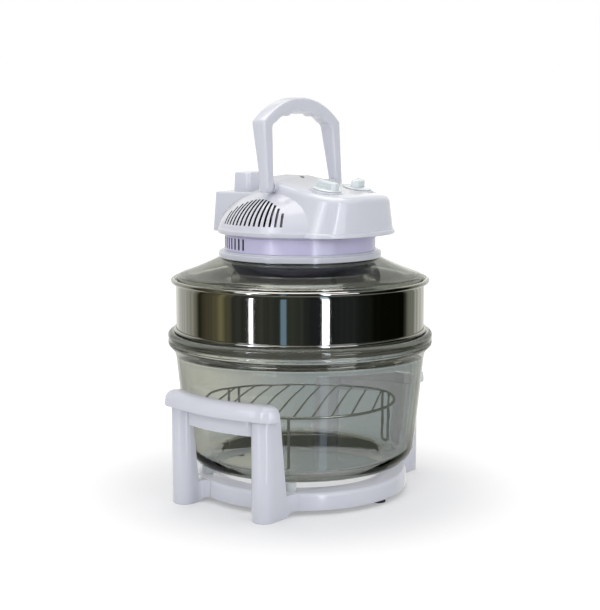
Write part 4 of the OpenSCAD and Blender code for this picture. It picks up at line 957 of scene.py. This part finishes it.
def grip_ring(height, outer, inner):
    """A grip's outline at a height, drawn in by its outer and inner insets. All in mm."""
    middle = GRIP_OUTER - GRIP_BOW
    bow, hug = GRIP_BOW - outer, GRIP_INNER + inner
    end_x = middle + math.sqrt(GRIP_BOW**2 - GRIP_END**2) - 17.4
    end = arc(end_x, GRIP_END, GRIP_CORNER - outer, GRIP_CORNER - outer, 8, 96, 8)
    outside = [(middle + math.sqrt(bow**2 - y * y), y)
               for y in (GRIP_END * i / 12 for i in range(-12, 13))]
    inside = [(math.sqrt(hug**2 - y * y), y) for y in (72 * i / 12 for i in range(12, -13, -1))]
    around = outside + end + inside + [(x, -y) for x, y in reversed(end)]
    return [(x, y, height) for x, y in around]


# %% Grips
for side, flip in (("right", 1), ("left", -1)):
    rings = [grip_ring(122.1, 0.9, 0.9), grip_ring(122.4, 0.25, 0.25), grip_ring(123.1, 0, 0),
             grip_ring(128.2, 0, 0), grip_ring(129.2, 0.35, 0)]
    for t in map(math.radians, range(15, 91, 15)):
        height = 129.2 + 11.4 * math.sin(t)
        rise = max(height - 137.6, 0)
        rings.append(grip_ring(height, 0.35 + 11.6 * (1 - math.cos(t)),
                               3 - math.sqrt(9 - min(rise, 3) ** 2)))
    bm = skinned(rings, poke=False)
    under = min(bm.faces, key=lambda f: f.calc_center_median().z)
    bmesh.ops.inset_individual(bm, faces=[under], thickness=0.0025, depth=-0.009)
    bmesh.ops.scale(bm, vec=(flip, 1, 1), verts=bm.verts)
    bmesh.ops.recalc_face_normals(bm, faces=bm.faces)
    hand_over(bm, f"grip_{side}", "base", [abs_white], [f"{side}_grip"], 40)

# %% [markdown]
# ## Rack
# The rack is welded from drawn wire and then chrome plated: a ring, ten straight bars laid across
# it, and three legs, each one wire bent into a narrow U. A curve with a round bevel is a bent
# wire, so each leg's path is drawn with its bend radius and turned into a mesh.


# %% Rack wires
def bent_wire(bm, path, radius, cyclic=False):
    """Adds a round wire that follows a path in metres. The radius is in mm."""
    curve = bpy.data.curves.new("wire", "CURVE")
    curve.dimensions = "3D"
    curve.bevel_depth, curve.bevel_resolution, curve.use_fill_caps = radius / 1000, 3, True
    line = curve.splines.new("POLY")
    line.points.add(len(path) - 1)
    for point, place in zip(line.points, path):
        point.co = (*place, 1)
    line.use_cyclic_u = cyclic
    made = bpy.data.objects.new("wire", curve)
    mesh = made.to_mesh()
    bm.from_mesh(mesh)
    made.to_mesh_clear()
    bpy.data.objects.remove(made)
    bpy.data.curves.remove(curve)


RACK_R, RACK_Z = 121, 116
THICK, THIN = 1.7, 1.2  # the wires' radii

bm = bmesh.new()
circle = [math.tau * i / 96 for i in range(96)]
bent_wire(bm, [mm(RACK_R * math.cos(a), RACK_R * math.sin(a), RACK_Z) for a in circle], THICK, True)
for i in range(1, 11):
    across = -RACK_R + 22 * i
    half = math.sqrt(RACK_R**2 - across**2)
    bar = [mm(x, across, 116.6 - 0.5 * (1 - abs(x / half) ** 6))
           for x in (half * k / 12 for k in range(-12, 13))]
    bent_wire(bm, [turn(29) @ point for point in bar], THIN)
low = arc(5, 53.4, 5, 5, 180, 270, 5)
leg = [(-10, RACK_Z)] + [(-10 + x, z) for x, z in low]
leg += [(-x, z) for x, z in reversed(leg)]
for angle in (87, 207, 327):
    bent_wire(bm, [turn(angle) @ at(119.6, 0, 0) @ mm(0, y, z) for y, z in leg], THICK)
hand_over(bm, "rack", "rack", [chrome_wire], ["wire_rack"], 60)

# %% [markdown]
# ## Heater pan
# The pan is pressed from steel sheet. Under the glass it is a shallow dish, which curves in to a
# deep groove, and below that its rim flares out again to a rolled edge. The groove, and below it
# a darker blue-grey copy of the steel that is a painted dark reflection, make the dark band seen
# through the lid.

# %% Heater pan
shell = [(0, 308.3), (83.6, 308.3), (84.5, 307.4)]
shell += [(r, glass_top(r) - 5.7) for r in (84.5, 88, 91, 94, 97.2)]
shell += [(98, 293.8)] + arc(76.4, 291, 21.6, 9.1, 0, -90, 12)
shell += [(75.6, 281.6), (75.5, 281.2), (76.2, 280.7), (80, 279.9), (85, 279), (89, 278.2),
          (91.3, 277.8)]
# Below this height, in metres, the pan takes the darker steel: a painted dark reflection.
PAINTED_DARK_BELOW = 0.2905

pan = spun(shell, closed=False)
for face in pan.faces:
    face.material_index = int(face.calc_center_median().z < PAINTED_DARK_BELOW)
ring_wire(pan, 92.1, 277.1, 0.9)
hand_over(pan, "pan", "lid", [steel_pan, steel_painted_dark], ["heater_pan"], 40)

# %% [markdown]
# ## Knobs and dials
# A knob is a low disc with a bar across it for finger and thumb. The bar is a block whose upright
# edges and then top edges are rounded, with fine ribs down its sides, as a moulded knob has. The
# marks round each dial are plain ticks, printed on the console, so they stand out from it by only
# a tenth of a millimetre.


# %% Knobs
def knob(name, side, swing, body, replaces):
    """A disc and a ribbed bar, turned by its swing about its own axis."""
    disc = [(0, 0), (17.4, 0), (17.8, 0.4), (17.6, 0.9), (16.6, 1.5), (13, 2.1), (0, 2.3)]
    bm = spun(disc, closed=False, steps=72)
    bar = bmesh.new()
    block(bar, (12.6, 31, 9.6), at(0, 0, 6))
    top = [v for v in bar.verts if v.co.z > 0.005]
    bmesh.ops.scale(bar, vec=(0.84, 0.94, 1), verts=top)
    soften(bar, 4.8, 50, 6, lambda e: abs(e.verts[0].co.z - e.verts[1].co.z) > 0.004)
    soften(bar, 2.2, 50, 4, both_ends(lambda co: co.z > 0.005))
    for i in range(7):
        for flank in (-1, 1):
            rod(bar, 0.7, 6, 10, at(5.9 * flank, (i - 3) * 2.8, 5.2), tip=0.5)
    take_in(bm, bar)
    bmesh.ops.transform(bm, matrix=at_knob(side) @ turn(swing), verts=bm.verts)
    hand_over(bm, name, body, [abs_knob], [replaces], 35)


knob("knob_thermostat", 1, -70, "thermostat_dial", "thermostat_knob")
knob("knob_timer", -1, 0, "timer_dial", "timer_knob")

# %% Dial ticks
ticks = bmesh.new()
for side in (1, -1):
    for i in range(19):
        angle = -225 + 15 * i
        around = math.radians(angle)
        long = 1.6 if i % 3 == 0 else 0.9
        reach = 21.6 + long / 2
        x = KNOB_X * side + reach * math.cos(around)
        y = KNOB_Y + reach * math.sin(around) * math.cos(math.radians(CONSOLE_LEAN))
        block(ticks, (long, 0.45, 0.2), at(x, y, console_top(x, y)) @ LEAN @ turn(angle))
hand_over(ticks, "dial_ticks", "lid", [nylon_black], (), 35)

# %% [markdown]
# Behind the collar's rear slots stands a near-black sheet ring. It is painted shade, and it is
# what makes the slots read as deep.

# %% Collar liner, painted shade
# The sheet ring takes the near-black finish: painted shade.
liner = spun([(90.8, 309), (91.2, 309), (91.2, 325.6), (90.8, 325.6)], steps=96)
hand_over(liner, "collar_painted_shade_sheet", "lid", [painted_shade_black], (), 40)

# %% [markdown]
# ## Pieces that keep their CAD mesh
# Screws, brackets, the motor and the like sit inside or underneath, and their machined shape is
# already right, so each keeps its CAD mesh and just gets the finish of the real thing. A weld and
# an edge split shade their round faces smooth and leave their corners crisp.

# %% Finishes for carried nodes
carried = {
    "housing_floor": abs_white, "base_feet": rubber, "bowl_pads": silicone,
    "lid_gasket": silicone, "lamp_guard": chrome_wire, "halogen_lamp": quartz,
    "lamp_holders": ceramic, "thermostat_bulb": zinc, "heat_shield": zinc, "clamp_studs": zinc,
    "base_screws": zinc, "housing_screws": zinc, "motor_bracket": zinc, "motor_shaft": zinc,
    "convection_fan": zinc, "cooling_fan": motor_steel, "fan_motor": motor_steel,
    "thermostat": phenolic, "timer": phenolic, "switch_plunger": phenolic,
    "safety_switch": nylon_black, "power_inlet": nylon_black, "inlet_pins": brass,
    "bail_pins": zinc, "indicator_lens": lens_amber,
}
for name, paint in carried.items():
    thing = nodes[name]
    thing.data.materials.clear()
    thing.data.materials.append(paint)
    thing.data.shade_smooth()
    thing.modifiers.new("weld", "WELD").merge_threshold = 2e-5
    thing.modifiers.new("crease", "EDGE_SPLIT").split_angle = math.radians(32)
print("carried nodes:", len(carried))
